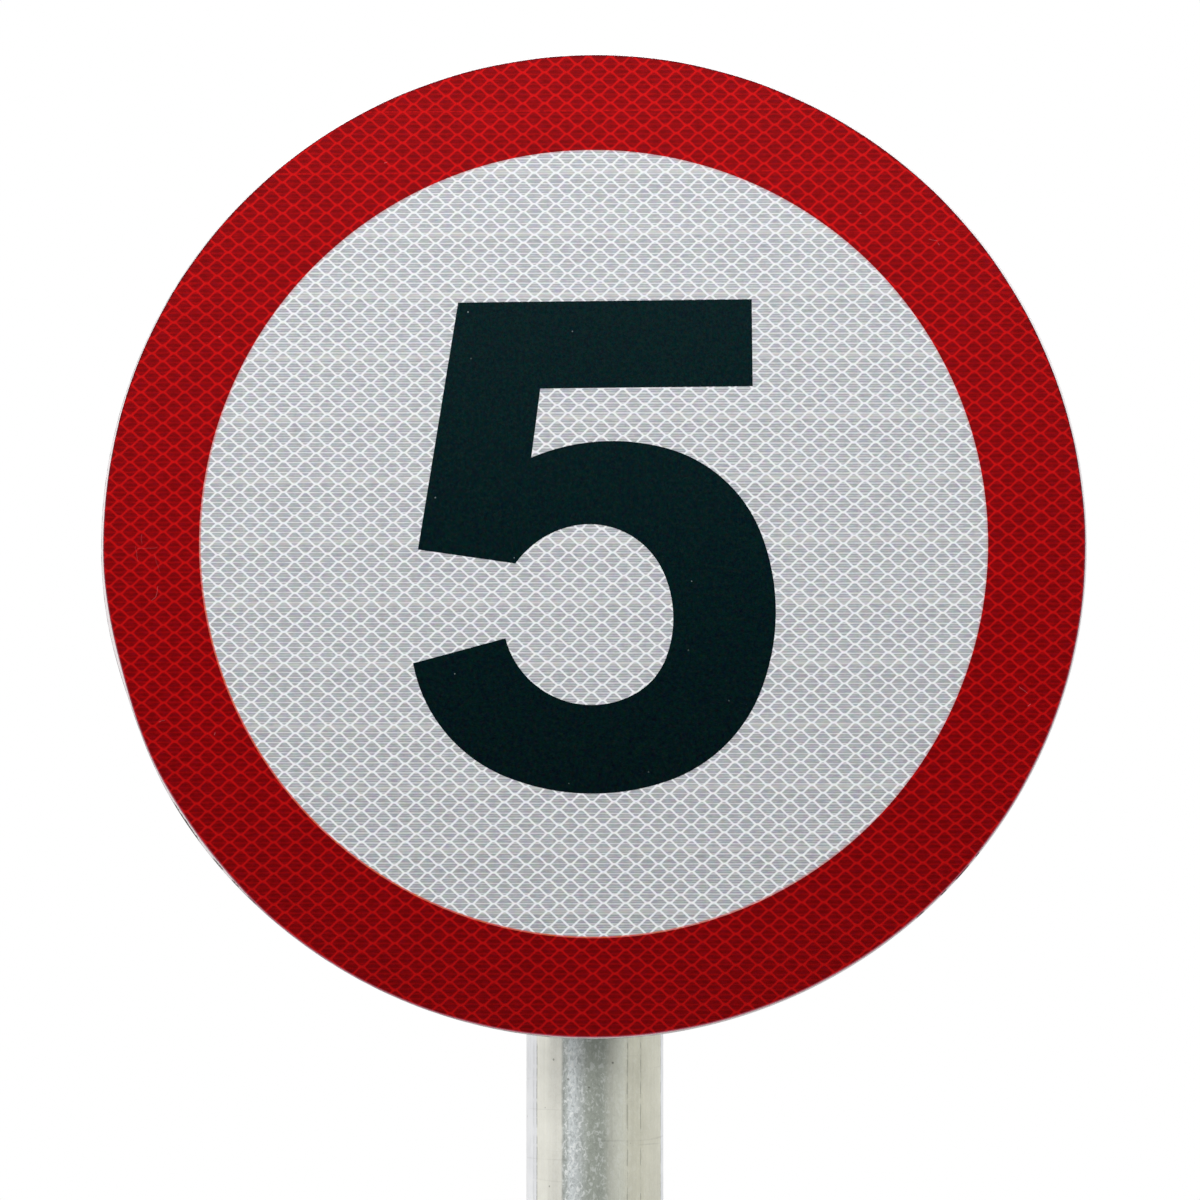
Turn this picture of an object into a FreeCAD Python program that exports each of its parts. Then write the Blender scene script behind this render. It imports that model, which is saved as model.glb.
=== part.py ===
import FreeCAD, Part
import math
import os
import Sketcher

# A round speed limit sign clamped to its steel post, in millimetres.
# The origin is the middle of the post's foot, +Z runs up the post,
# and the face of the sign looks towards -Y.

os.makedirs("parts", exist_ok=True)
doc = FreeCAD.newDocument("speed_limit_sign")
sheet = doc.addObject("Spreadsheet::Sheet", "Size")

# Driving sizes, each a cell of the sheet with its own alias.
SIZES = {
    # Blank and face
    "plate_diameter": 450,
    "plate_thickness": 3,
    "plate_edge_round": 0.35,
    "sheeting_inset": 0.8,
    "sheeting_thickness": 0.45,
    "sheeting_right": 0.12,
    "sheeting_up": 0.13,
    "border_width": 44.2,
    "window_left": 0.18,
    "window_up": 0.71,
    "film_thickness": 0.08,
    "artwork_turn": 0.58,
    # Numeral, laid a little below the middle of the blank and measured from its own middle
    "numeral_down": 0.96,
    "numeral_top": 112.5,
    "bar_left": 60.6,
    "bar_right": 73.6,
    "bar_depth": 39.8,
    "stem_inside_top": 23.4,
    "bowl_start_left": 27.85,
    "bowl_start_up": 41.15,
    "bowl_start_climb": 22.5,
    "counter_start_left": 35.55,
    "counter_start_down": 7.15,
    "counter_start_climb": 54,
    "stem_foot_left": 80,
    "stem_foot_down": 0.3,
    # Numeral, arcs of the bowl
    "bowl_top_radius": 94.5,
    "bowl_top_sweep": 38,
    "bowl_shoulder_radius": 64.5,
    "bowl_shoulder_sweep": 54,
    "bowl_side_radius": 99,
    "bowl_side_sweep": 43.5,
    "bowl_heel_radius": 70,
    "bowl_heel_sweep": 48.5,
    "bowl_base_radius": 105,
    "bowl_base_sweep": 41.5,
    "bowl_hook_radius": 69.5,
    "bowl_hook_sweep": 57,
    "counter_top_radius": 43,
    "counter_top_sweep": 42.5,
    "counter_shoulder_radius": 37,
    "counter_shoulder_sweep": 78,
    "counter_side_radius": 51.5,
    "counter_side_sweep": 44,
    "counter_heel_radius": 32,
    "counter_heel_sweep": 42.5,
    "counter_base_radius": 40.7,
    "counter_base_sweep": 103,
    # Post and its cap
    "post_diameter": 63.5,
    "post_wall": 3.2,
    "post_length": 1500,
    "post_above_centre": 190,
    "cap_fit": 0.15,
    "cap_wall": 2.2,
    "cap_skirt": 22,
    "cap_crown": 2.5,
    "cap_dome": 5,
    "cap_edge_round": 1.6,
    # Bolts, washers and nuts
    "bolt_diameter": 8,
    "bolt_length": 25,
    "bolt_end_chamfer": 0.9,
    "head_height": 5.3,
    "hexagon_flats": 13,
    "hexagon_chamfer": 0.35,
    "nut_height": 6.8,
    "thread_gap": 0.05,
    "washer_diameter": 16,
    "washer_hole": 8.4,
    "washer_thickness": 1.6,
    # Channels and their tape
    "channel_spacing": 220,
    "channel_end_inset": 25,
    "flange_width": 44,
    "flange_thickness": 2,
    "channel_wall": 2,
    "lip_thickness": 2.2,
    "head_side_gap": 0.5,
    "head_end_gap": 1.7,
    "slot_gap": 0.5,
    "channel_edge_round": 0.4,
    "post_to_channel": 0.05,
    "tape_width": 19,
    "tape_thickness": 1.1,
    "tape_edge_margin": 1.5,
    "tape_end_margin": 2,
    # Clips
    "clip_fit": 0.1,
    "clip_thickness": 3,
    "clip_height": 28,
    "clip_gap": 4,
    "foot_thickness": 4,
    "foot_end": 10,
    "washer_to_clip": 3.15,
    "bolt_hole_gap": 0.5,
    "clip_bend_round": 2.2,
    "clip_edge_round": 0.6,
}
for row, (alias, value) in enumerate(SIZES.items(), start=1):
    sheet.set(f"A{row}", alias)
    sheet.set(f"B{row}", str(value))
    sheet.setAlias(f"B{row}", alias)
doc.recompute()

# Places that several pieces share, written as formulas of the sizes.
SIGN_CENTRE = "(Size.post_length - Size.post_above_centre)"
LIP_FACE = "(-Size.post_diameter / 2 - Size.post_to_channel)"
CAVITY_DEPTH = "(Size.head_height + Size.head_end_gap)"
CHANNEL_DEPTH = f"(Size.lip_thickness + {CAVITY_DEPTH} + Size.flange_thickness)"
FLANGE_FACE = f"({LIP_FACE} - {CHANNEL_DEPTH})"
PLATE_BACK = f"({FLANGE_FACE} - Size.tape_thickness)"
PLATE_FACE = f"({PLATE_BACK} - Size.plate_thickness)"
SHEETING_FACE = f"({PLATE_FACE} - Size.sheeting_thickness)"
SHEETING_RADIUS = "(Size.plate_diameter / 2 - Size.sheeting_inset)"
CHANNEL_REACH = "(Size.channel_spacing / 2 + Size.flange_width / 2)"
CHANNEL_LENGTH = (
    "(2 * sqrt((Size.plate_diameter / 2 - Size.channel_end_inset) ^ 2 "
    f"- {CHANNEL_REACH} ^ 2))"
)
CLIP_INSIDE = "(Size.post_diameter / 2 + Size.clip_fit)"
CLIP_OUTSIDE = f"({CLIP_INSIDE} + Size.clip_thickness)"
BOLT_SIDE = f"({CLIP_OUTSIDE} + Size.washer_to_clip + Size.washer_diameter / 2)"
FOOT_FRONT = f"({LIP_FACE} + Size.clip_gap)"
FOOT_BACK = f"({FOOT_FRONT} + Size.foot_thickness)"
LEVELS = {"upper": "Size.channel_spacing / 2", "lower": "-Size.channel_spacing / 2"}
SIDES = {"left": -1, "right": 1}


def number(formula):
    """The value that a formula of the sizes has now."""
    return float(sheet.evalExpression(formula.replace("Size.", "")))


def place(piece, x, y, z):
    """Ties the place of a piece to three formulas."""
    piece.setExpression("Placement.Base.x", x)
    piece.setExpression("Placement.Base.y", y)
    piece.setExpression("Placement.Base.z", z)


def new_body(label, x="0", y="0", z="0"):
    """A body for one piece, placed by three formulas."""
    body = doc.addObject("PartDesign::Body", label)
    body.Label = label
    place(body, x, y, z)
    return body


def new_sketch(body, name, plane):
    """A sketch on one of the body's own origin planes."""
    sketch = body.newObject("Sketcher::SketchObject", name)
    support = [item for item in body.Origin.OriginFeatures if item.Role == plane][0]
    sketch.AttachmentSupport = [(support, "")]
    sketch.MapMode = "FlatFace"
    return sketch


def datum(sketch, formula, *what):
    """Adds a dimension to a sketch and ties it to a formula."""
    index = sketch.addConstraint(Sketcher.Constraint(*what, number(formula)))
    sketch.setExpression(f"Constraints[{index}]", formula)


def place_point(sketch, geometry, end, x, y):
    """Ties a point of the sketch to two formulas, from the sketch's origin."""
    datum(sketch, x, "DistanceX", -1, 1, geometry, end)
    datum(sketch, y, "DistanceY", -1, 1, geometry, end)


def add_circle(sketch, radius, x="0", y="0"):
    """A circle given by formulas for its radius and its middle."""
    middle = FreeCAD.Vector(number(x), number(y), 0)
    circle = Part.Circle(middle, FreeCAD.Vector(0, 0, 1), number(radius))
    geometry = sketch.addGeometry(circle)
    datum(sketch, radius, "Radius", geometry)
    place_point(sketch, geometry, 3, x, y)


def add_outline(sketch, corners):
    """A closed outline of straight lines through corners given by formulas."""
    points = [FreeCAD.Vector(number(x), number(y), 0) for x, y in corners]
    lines = [
        sketch.addGeometry(Part.LineSegment(start, end))
        for start, end in zip(points, points[1:] + points[:1])
    ]
    for line, following in zip(lines, lines[1:] + lines[:1]):
        sketch.addConstraint(Sketcher.Constraint("Coincident", line, 2, following, 1))
    for line, (x, y) in zip(lines, corners):
        place_point(sketch, line, 1, x, y)


def pad(body, sketch, length, reverse=False, both_ways=False):
    """Pads a sketch of the body."""
    feature = body.newObject("PartDesign::Pad", f"{body.Label}_pad")
    feature.Profile = sketch
    feature.Reversed = reverse
    feature.Midplane = both_ways
    feature.setExpression("Length", length)


def pocket_through(body, sketch):
    """Cuts a sketch right through the body, both ways, and checks that it cut something."""
    doc.recompute()
    before = body.Shape.Volume
    feature = body.newObject("PartDesign::Pocket", f"{body.Label}_holes")
    feature.Profile = sketch
    feature.Type = "ThroughAll"
    feature.Midplane = True
    doc.recompute()
    if feature.Shape.Volume > before - 1:
        raise ValueError(f"the holes of {body.Label} cut nothing")


def turn_about_axis(body, sketch, kind):
    """Revolves a sketch about its upright axis, as a solid or as a groove."""
    feature = body.newObject(f"PartDesign::{kind}", f"{body.Label}_{kind.lower()}")
    feature.Profile = sketch
    feature.ReferenceAxis = (sketch, ["V_Axis"])
    feature.Angle = 360


def dress_edges(body, kind, size, wanted):
    """Fillets or chamfers the edges of the body that the test picks out."""
    doc.recompute()
    base = body.Tip
    names = [
        f"Edge{count}"
        for count, edge in enumerate(base.Shape.Edges, start=1)
        if wanted(edge)
    ]
    feature = body.newObject(f"PartDesign::{kind}", f"{body.Label}_{kind.lower()}")
    feature.Base = (base, names)
    feature.setExpression("Radius" if kind == "Fillet" else "Size", size)


def runs_along(edge, axis):
    """True for a straight edge that is parallel to an axis."""
    if not isinstance(edge.Curve, Part.Line):
        return False
    return abs(edge.Curve.Direction.dot(axis)) > 0.999


# The blank: a flat disc punched from aluminium sheet, with its cut edge lightly broken.
plate = new_body("sign_plate", y=PLATE_BACK, z=SIGN_CENTRE)
plate_sketch = new_sketch(plate, "plate_outline", "XZ_Plane")
add_circle(plate_sketch, "Size.plate_diameter / 2")
pad(plate, plate_sketch, "Size.plate_thickness")
dress_edges(plate, "Fillet", "Size.plate_edge_round", lambda edge: True)

# The sheeting is laid on by hand, a little off the middle of the blank.
SHEETING_UP = f"({SIGN_CENTRE} + Size.sheeting_up)"
sheeting = new_body("white_sheeting", x="Size.sheeting_right", y=PLATE_FACE, z=SHEETING_UP)
sheeting_sketch = new_sketch(sheeting, "sheeting_outline", "XZ_Plane")
add_circle(sheeting_sketch, SHEETING_RADIUS)
pad(sheeting, sheeting_sketch, "Size.sheeting_thickness")

# The border is a ring of transparent film, cut with the sheeting at its outer edge.
border = new_body("red_border_film", x="Size.sheeting_right", y=SHEETING_FACE, z=SHEETING_UP)
border_sketch = new_sketch(border, "border_outline", "XZ_Plane")
add_circle(border_sketch, SHEETING_RADIUS)
add_circle(
    border_sketch,
    f"({SHEETING_RADIUS} - Size.border_width)",
    "-Size.window_left",
    "Size.window_up",
)
pad(border, border_sketch, "Size.film_thickness")


def arc_run(sketch, names, start_x, start_y, climb):
    """Draws tangent arcs that bend to the right, from a start point that climbs at an angle."""
    x = number(start_x)
    y = number(start_y)
    heading = math.radians(number(climb))
    arcs = []
    for name in names:
        radius = number(f"Size.{name}_radius")
        sweep = math.radians(number(f"Size.{name}_sweep"))
        middle_x = x + radius * math.sin(heading)
        middle_y = y - radius * math.cos(heading)
        first = heading + math.pi / 2
        last = first - sweep
        circle = Part.Circle(
            FreeCAD.Vector(middle_x, middle_y, 0), FreeCAD.Vector(0, 0, 1), radius
        )
        arcs.append(sketch.addGeometry(Part.ArcOfCircle(circle, last, first)))
        x = middle_x + radius * math.cos(last)
        y = middle_y + radius * math.sin(last)
        heading -= sweep
    # The first arc is held by its start and its middle, the others by tangency and radius.
    first_radius = f"Size.{names[0]}_radius"
    place_point(sketch, arcs[0], 2, start_x, start_y)
    place_point(
        sketch,
        arcs[0],
        3,
        f"{start_x} + {first_radius} * sin({climb} * 1 deg)",
        f"{start_y} - {first_radius} * cos({climb} * 1 deg)",
    )
    for arc, following, name in zip(arcs, arcs[1:], names[1:]):
        sketch.addConstraint(Sketcher.Constraint("Tangent", arc, 1, following, 2))
        datum(sketch, f"Size.{name}_radius", "Radius", following)
    for arc, name in zip(arcs, names):
        sweep = number(f"Size.{name}_sweep")
        index = sketch.addConstraint(Sketcher.Constraint("Angle", arc, math.radians(sweep)))
        sketch.setExpression(f"Constraints[{index}]", f"Size.{name}_sweep * 1 deg")
    return arcs, FreeCAD.Vector(x, y, 0)


# The numeral is one piece of black film: a bar, a leaning stem and an open bowl.
# The bowl's outer edge and its counter are runs of tangent arcs, each a radius and a sweep.
BOWL_ARCS = ["bowl_top", "bowl_shoulder", "bowl_side", "bowl_heel", "bowl_base", "bowl_hook"]
COUNTER_ARCS = ["counter_top", "counter_shoulder", "counter_side", "counter_heel", "counter_base"]
NUMERAL_UP = f"({SIGN_CENTRE} - Size.numeral_down)"
numeral = new_body("black_numeral", y=SHEETING_FACE, z=NUMERAL_UP)
numeral.Placement = FreeCAD.Placement(
    numeral.Placement.Base, FreeCAD.Rotation(FreeCAD.Vector(0, -1, 0), 1)
)
numeral.setExpression("Placement.Rotation.Angle", "Size.artwork_turn * 1 deg")
numeral_sketch = new_sketch(numeral, "numeral_outline", "XZ_Plane")
bowl, hook_end = arc_run(
    numeral_sketch,
    BOWL_ARCS,
    "-Size.bowl_start_left",
    "Size.bowl_start_up",
    "Size.bowl_start_climb",
)
counter, counter_end = arc_run(
    numeral_sketch,
    COUNTER_ARCS,
    "-Size.counter_start_left",
    "-Size.counter_start_down",
    "Size.counter_start_climb",
)
straight_corners = [
    ("-Size.counter_start_left", "-Size.counter_start_down"),
    ("-Size.stem_foot_left", "-Size.stem_foot_down"),
    ("-Size.bar_left", "Size.numeral_top"),
    ("Size.bar_right", "Size.numeral_top"),
    ("Size.bar_right", "Size.numeral_top - Size.bar_depth"),
    ("-Size.stem_inside_top", "Size.numeral_top - Size.bar_depth"),
    ("-Size.bowl_start_left", "Size.bowl_start_up"),
]
straight_points = [FreeCAD.Vector(number(x), number(y), 0) for x, y in straight_corners]
straights = [
    numeral_sketch.addGeometry(Part.LineSegment(start, end))
    for start, end in zip(straight_points, straight_points[1:])
]
for line, following, (x, y) in zip(straights, straights[1:], straight_corners[1:]):
    numeral_sketch.addConstraint(Sketcher.Constraint("Coincident", line, 2, following, 1))
    place_point(numeral_sketch, following, 1, x, y)
terminal = numeral_sketch.addGeometry(Part.LineSegment(hook_end, counter_end))
for joint in (
    (straights[0], 1, counter[0], 2),
    (straights[-1], 2, bowl[0], 2),
    (terminal, 1, bowl[-1], 1),
    (terminal, 2, counter[-1], 1),
):
    numeral_sketch.addConstraint(Sketcher.Constraint("Coincident", *joint))
pad(numeral, numeral_sketch, "Size.film_thickness")

# The post: galvanised round steel tube, cut square at both ends.
post = new_body("post")
post_sketch = new_sketch(post, "post_section", "XY_Plane")
add_circle(post_sketch, "Size.post_diameter / 2")
add_circle(post_sketch, "(Size.post_diameter / 2 - Size.post_wall)")
pad(post, post_sketch, "Size.post_length")

# The cap slips over the post's upper end and closes it with a low dome.
CAP_INSIDE = "(Size.post_diameter / 2 + Size.cap_fit)"
CAP_OUTSIDE = f"({CAP_INSIDE} + Size.cap_wall)"
cap = new_body("post_cap", z="Size.post_length")
cap_sketch = new_sketch(cap, "cap_section", "XZ_Plane")
cap_corners = [
    ("0", "Size.cap_crown + Size.cap_dome"),
    ("0", "0"),
    (CAP_INSIDE, "0"),
    (CAP_INSIDE, "-Size.cap_skirt"),
    (CAP_OUTSIDE, "-Size.cap_skirt"),
    (CAP_OUTSIDE, "Size.cap_crown"),
]
cap_points = [FreeCAD.Vector(number(x), number(y), 0) for x, y in cap_corners]
cap_lines = [
    cap_sketch.addGeometry(Part.LineSegment(start, end))
    for start, end in zip(cap_points, cap_points[1:])
]
dome_radius = (number(CAP_OUTSIDE) ** 2 + number("Size.cap_dome") ** 2) / (
    2 * number("Size.cap_dome")
)
dome_middle = FreeCAD.Vector(0, cap_points[0].y - dome_radius, 0)
dome_start = math.atan2(cap_points[-1].y - dome_middle.y, cap_points[-1].x)
dome = cap_sketch.addGeometry(
    Part.ArcOfCircle(
        Part.Circle(dome_middle, FreeCAD.Vector(0, 0, 1), dome_radius), dome_start, math.pi / 2
    )
)
for line, (x, y) in zip(cap_lines, cap_corners):
    place_point(cap_sketch, line, 1, x, y)
for line, following in zip(cap_lines, cap_lines[1:]):
    cap_sketch.addConstraint(Sketcher.Constraint("Coincident", line, 2, following, 1))
place_point(cap_sketch, cap_lines[-1], 2, *cap_corners[-1])
cap_sketch.addConstraint(Sketcher.Constraint("Coincident", cap_lines[-1], 2, dome, 1))
cap_sketch.addConstraint(Sketcher.Constraint("Coincident", dome, 2, cap_lines[0], 1))
cap_sketch.addConstraint(Sketcher.Constraint("PointOnObject", dome, 3, -2))
turn_about_axis(cap, cap_sketch, "Revolution")
dress_edges(
    cap,
    "Fillet",
    "Size.cap_edge_round",
    lambda edge: edge.BoundBox.ZMin > 0.1 and edge.BoundBox.XMax > number(CAP_INSIDE),
)

# Each channel: extruded aluminium, a flange bonded to the blank and a T-slot for bolt heads.
BASE_BACK = f"(Size.flange_thickness - {CHANNEL_DEPTH})"
CAVITY_HALF = "(Size.hexagon_flats / 2 + Size.head_side_gap)"
BOX_HALF = f"({CAVITY_HALF} + Size.channel_wall)"
SLOT_HALF = "(Size.bolt_diameter / 2 + Size.slot_gap)"
half_channel = [
    (f"-{CHANNEL_DEPTH}", "Size.flange_width / 2"),
    (BASE_BACK, "Size.flange_width / 2"),
    (BASE_BACK, BOX_HALF),
    ("0", BOX_HALF),
    ("0", SLOT_HALF),
    ("-Size.lip_thickness", SLOT_HALF),
    ("-Size.lip_thickness", CAVITY_HALF),
    (BASE_BACK, CAVITY_HALF),
]
channel_corners = half_channel + [(y, f"-{z}") for y, z in reversed(half_channel)]
TAPE_OFFSET = "(Size.flange_width / 2 - Size.tape_edge_margin - Size.tape_width / 2)"
TAPE_LENGTH = f"({CHANNEL_LENGTH} - 2 * Size.tape_end_margin)"

for level, height in LEVELS.items():
    channel = new_body(f"{level}_channel", y=LIP_FACE, z=f"{SIGN_CENTRE} + {height}")
    channel_sketch = new_sketch(channel, f"{level}_channel_section", "YZ_Plane")
    add_outline(channel_sketch, channel_corners)
    pad(channel, channel_sketch, CHANNEL_LENGTH, both_ways=True)
    dress_edges(
        channel,
        "Fillet",
        "Size.channel_edge_round",
        lambda edge: runs_along(edge, FreeCAD.Vector(1, 0, 0)),
    )
    # Two strips of foam tape bond the flange to the blank, one above and one below the slot.
    for edge_name, edge_sign in (("top", "+"), ("bottom", "-")):
        tape = doc.addObject("Part::Box", f"{level}_{edge_name}_tape")
        tape.Label = f"{level}_{edge_name}_tape"
        tape.setExpression("Length", TAPE_LENGTH)
        tape.setExpression("Width", "Size.tape_thickness")
        tape.setExpression("Height", "Size.tape_width")
        place(
            tape,
            f"-{TAPE_LENGTH} / 2",
            PLATE_BACK,
            f"{SIGN_CENTRE} + {height} {edge_sign} {TAPE_OFFSET} - Size.tape_width / 2",
        )

# Each clip: a saddle that hugs the back of the post, with two feet drilled for the bolts.
FOOT_END = f"({BOLT_SIDE} + Size.foot_end)"
right_leg = [
    (CLIP_INSIDE, "0"),
    (CLIP_INSIDE, FOOT_FRONT),
    (FOOT_END, FOOT_FRONT),
    (FOOT_END, FOOT_BACK),
    (CLIP_OUTSIDE, FOOT_BACK),
    (CLIP_OUTSIDE, "0"),
]


def add_leg(sketch, corners):
    """Draws one leg of a clip as an open run of lines held at its corners."""
    points = [FreeCAD.Vector(number(x), number(y), 0) for x, y in corners]
    lines = [
        sketch.addGeometry(Part.LineSegment(start, end))
        for start, end in zip(points, points[1:])
    ]
    for line, following in zip(lines, lines[1:]):
        sketch.addConstraint(Sketcher.Constraint("Coincident", line, 2, following, 1))
    for line, (x, y) in zip(lines, corners):
        place_point(sketch, line, 1, x, y)
    place_point(sketch, lines[-1], 2, *corners[-1])
    return lines


for level, height in LEVELS.items():
    clip = new_body(f"{level}_clip", z=f"{SIGN_CENTRE} + {height}")
    clip_sketch = new_sketch(clip, f"{level}_clip_section", "XY_Plane")
    right = add_leg(clip_sketch, right_leg)
    left = add_leg(clip_sketch, [(f"-{x}", y) for x, y in right_leg])
    for radius, end_line, point in ((CLIP_INSIDE, 0, 1), (CLIP_OUTSIDE, -1, 2)):
        circle = Part.Circle(FreeCAD.Vector(), FreeCAD.Vector(0, 0, 1), number(radius))
        saddle = clip_sketch.addGeometry(Part.ArcOfCircle(circle, 0, math.pi))
        clip_sketch.addConstraint(
            Sketcher.Constraint("Coincident", saddle, 1, right[end_line], point)
        )
        clip_sketch.addConstraint(
            Sketcher.Constraint("Coincident", saddle, 2, left[end_line], point)
        )
        clip_sketch.addConstraint(Sketcher.Constraint("PointOnObject", saddle, 3, -1))
    pad(clip, clip_sketch, "Size.clip_height", both_ways=True)
    dress_edges(
        clip,
        "Fillet",
        "Size.clip_bend_round",
        lambda edge: runs_along(edge, FreeCAD.Vector(0, 0, 1))
        and edge.BoundBox.YMax < -1
        and abs(edge.BoundBox.XMax) < number(CLIP_OUTSIDE) + 0.1,
    )
    dress_edges(
        clip,
        "Fillet",
        "Size.clip_edge_round",
        lambda edge: runs_along(edge, FreeCAD.Vector(0, 0, 1))
        and abs(edge.BoundBox.XMax) > number(FOOT_END) - 0.1,
    )
    hole_sketch = new_sketch(clip, f"{level}_clip_holes", "XZ_Plane")
    for sign in SIDES.values():
        add_circle(
            hole_sketch,
            "(Size.bolt_diameter / 2 + Size.bolt_hole_gap)",
            f"{sign} * {BOLT_SIDE}",
        )
    pocket_through(clip, hole_sketch)

# Hexagon bolts, washers and nuts. Their own axis is Z, and they are turned to point along +Y.
HEXAGON_CORNER = "(Size.hexagon_flats / 2 / cos(30 deg))"
hexagon_corners = [
    (f"{HEXAGON_CORNER} * cos({60 * side} deg)", f"{HEXAGON_CORNER} * sin({60 * side} deg)")
    for side in range(6)
]
CHAMFER_START = "(Size.hexagon_flats / 2 - Size.hexagon_chamfer)"
CHAMFER_REACH = f"({HEXAGON_CORNER} + 1)"
CHAMFER_DROP = f"(({CHAMFER_REACH} - {CHAMFER_START}) * tan(30 deg))"


def chamfer_hexagon(body, ends):
    """Turns the corners off a hexagon at each end height, inwards by the way given."""
    sketch = new_sketch(body, f"{body.Label}_chamfer", "XZ_Plane")
    for end, inwards in ends:
        add_outline(
            sketch,
            [
                (CHAMFER_START, end),
                (CHAMFER_REACH, end),
                (CHAMFER_REACH, f"{end} {inwards} {CHAMFER_DROP}"),
            ],
        )
    turn_about_axis(body, sketch, "Groove")


def new_fastener(label, x, y, z):
    """A body whose own Z axis points along +Y of the sign."""
    body = new_body(label, x, y, z)
    body.Placement = FreeCAD.Placement(
        body.Placement.Base, FreeCAD.Rotation(FreeCAD.Vector(1, 0, 0), -90)
    )
    return body


WASHER_BACK = f"({FOOT_BACK} + Size.washer_thickness)"
for level, height in LEVELS.items():
    for side, sign in SIDES.items():
        name = f"{level}_{side}"
        x = f"{sign} * {BOLT_SIDE}"
        z = f"{SIGN_CENTRE} + {height}"

        bolt = new_fastener(f"{name}_bolt", x, f"{LIP_FACE} - Size.lip_thickness", z)
        head_sketch = new_sketch(bolt, f"{name}_bolt_head", "XY_Plane")
        add_outline(head_sketch, hexagon_corners)
        pad(bolt, head_sketch, "Size.head_height", reverse=True)
        chamfer_hexagon(bolt, [("-Size.head_height", "+")])
        shank_sketch = new_sketch(bolt, f"{name}_bolt_shank", "XY_Plane")
        add_circle(shank_sketch, "Size.bolt_diameter / 2")
        pad(bolt, shank_sketch, "Size.bolt_length")
        dress_edges(
            bolt,
            "Chamfer",
            "Size.bolt_end_chamfer",
            lambda edge: edge.BoundBox.ZMin > number("Size.bolt_length") - 0.1,
        )

        washer = new_fastener(f"{name}_washer", x, FOOT_BACK, z)
        washer_sketch = new_sketch(washer, f"{name}_washer_outline", "XY_Plane")
        add_circle(washer_sketch, "Size.washer_diameter / 2")
        add_circle(washer_sketch, "Size.washer_hole / 2")
        pad(washer, washer_sketch, "Size.washer_thickness")

        nut = new_fastener(f"{name}_nut", x, WASHER_BACK, z)
        nut_sketch = new_sketch(nut, f"{name}_nut_outline", "XY_Plane")
        add_outline(nut_sketch, hexagon_corners)
        add_circle(nut_sketch, "(Size.bolt_diameter / 2 + Size.thread_gap)")
        pad(nut, nut_sketch, "Size.nut_height")
        chamfer_hexagon(nut, [("0", "+"), ("Size.nut_height", "-")])

doc.recompute()

# Every object is looked at before anything is written.
for item in doc.Objects:
    if "Invalid" in item.State or "Error" in item.State:
        raise ValueError(f"{item.Label} did not compute: {item.State}")
pieces = [
    item
    for item in doc.Objects
    if item.TypeId in ("PartDesign::Body", "Part::Box")
]
for piece in pieces:
    shape = piece.Shape
    if shape.isNull() or not shape.isValid() or len(shape.Solids) != 1:
        raise ValueError(f"{piece.Label} is not one valid solid")
for piece in pieces:
    piece.Shape.exportStep(f"parts/{piece.Label}.step")
print(len(pieces), "pieces written")
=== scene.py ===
from functools import partial
from math import cos, exp, hypot, pi, radians, sin, sqrt, tan
import bmesh
import bpy
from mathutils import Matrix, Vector


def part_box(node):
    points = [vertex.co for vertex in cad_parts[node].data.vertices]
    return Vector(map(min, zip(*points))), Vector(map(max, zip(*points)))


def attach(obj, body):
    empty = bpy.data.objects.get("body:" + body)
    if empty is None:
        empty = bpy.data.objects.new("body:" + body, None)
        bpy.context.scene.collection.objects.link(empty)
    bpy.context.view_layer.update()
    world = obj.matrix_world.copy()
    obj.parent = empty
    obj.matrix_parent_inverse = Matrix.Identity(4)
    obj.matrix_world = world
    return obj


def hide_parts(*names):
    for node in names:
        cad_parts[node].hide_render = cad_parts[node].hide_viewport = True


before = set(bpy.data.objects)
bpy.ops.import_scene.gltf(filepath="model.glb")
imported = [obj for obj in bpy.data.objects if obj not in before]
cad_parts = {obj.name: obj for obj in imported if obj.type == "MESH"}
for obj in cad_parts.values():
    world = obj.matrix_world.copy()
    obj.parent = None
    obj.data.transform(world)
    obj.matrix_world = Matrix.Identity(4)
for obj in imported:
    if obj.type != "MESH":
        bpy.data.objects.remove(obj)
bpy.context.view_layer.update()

# The blank is a flat disc punched from 3 mm aluminium sheet, with its cut edge lightly broken.
# Its front was etched pale so that sheeting sticks to it, and shows as a thin rim. A knock has
# flattened the edge a little, low on the left.
MM = 0.001
EDGE_ROUND = 0.25 * MM
DENT_DEPTH = 1.35 * MM
DENT_AT = 199
DENT_WIDTH = 8
ROUND_STEPS = 5
SHARP_ANGLE = radians(32)
# Dark marks on the rim are painted shade of its cut edge: each is an angle from the right, seen
# from the front, half its length in degrees, and its strength.
RIM_SHADE_MARKS = (
    (214.2, 2.6, 1.0),
    (220.4, 0.9, 0.8),
    (223.4, 0.6, 0.8),
    (226.2, 0.7, 0.7),
    (230.0, 0.4, 0.6),
    (311.5, 0.6, 0.8),
    (315.2, 0.5, 0.8),
    (318.4, 1.2, 0.9),
    (321.1, 0.3, 0.8),
)
blank_low, blank_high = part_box("sign_plate")
face_middle = (blank_low + blank_high) / 2
blank_radius = (blank_high.x - blank_low.x) / 2
blank_half = (blank_high.y - blank_low.y) / 2


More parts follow.
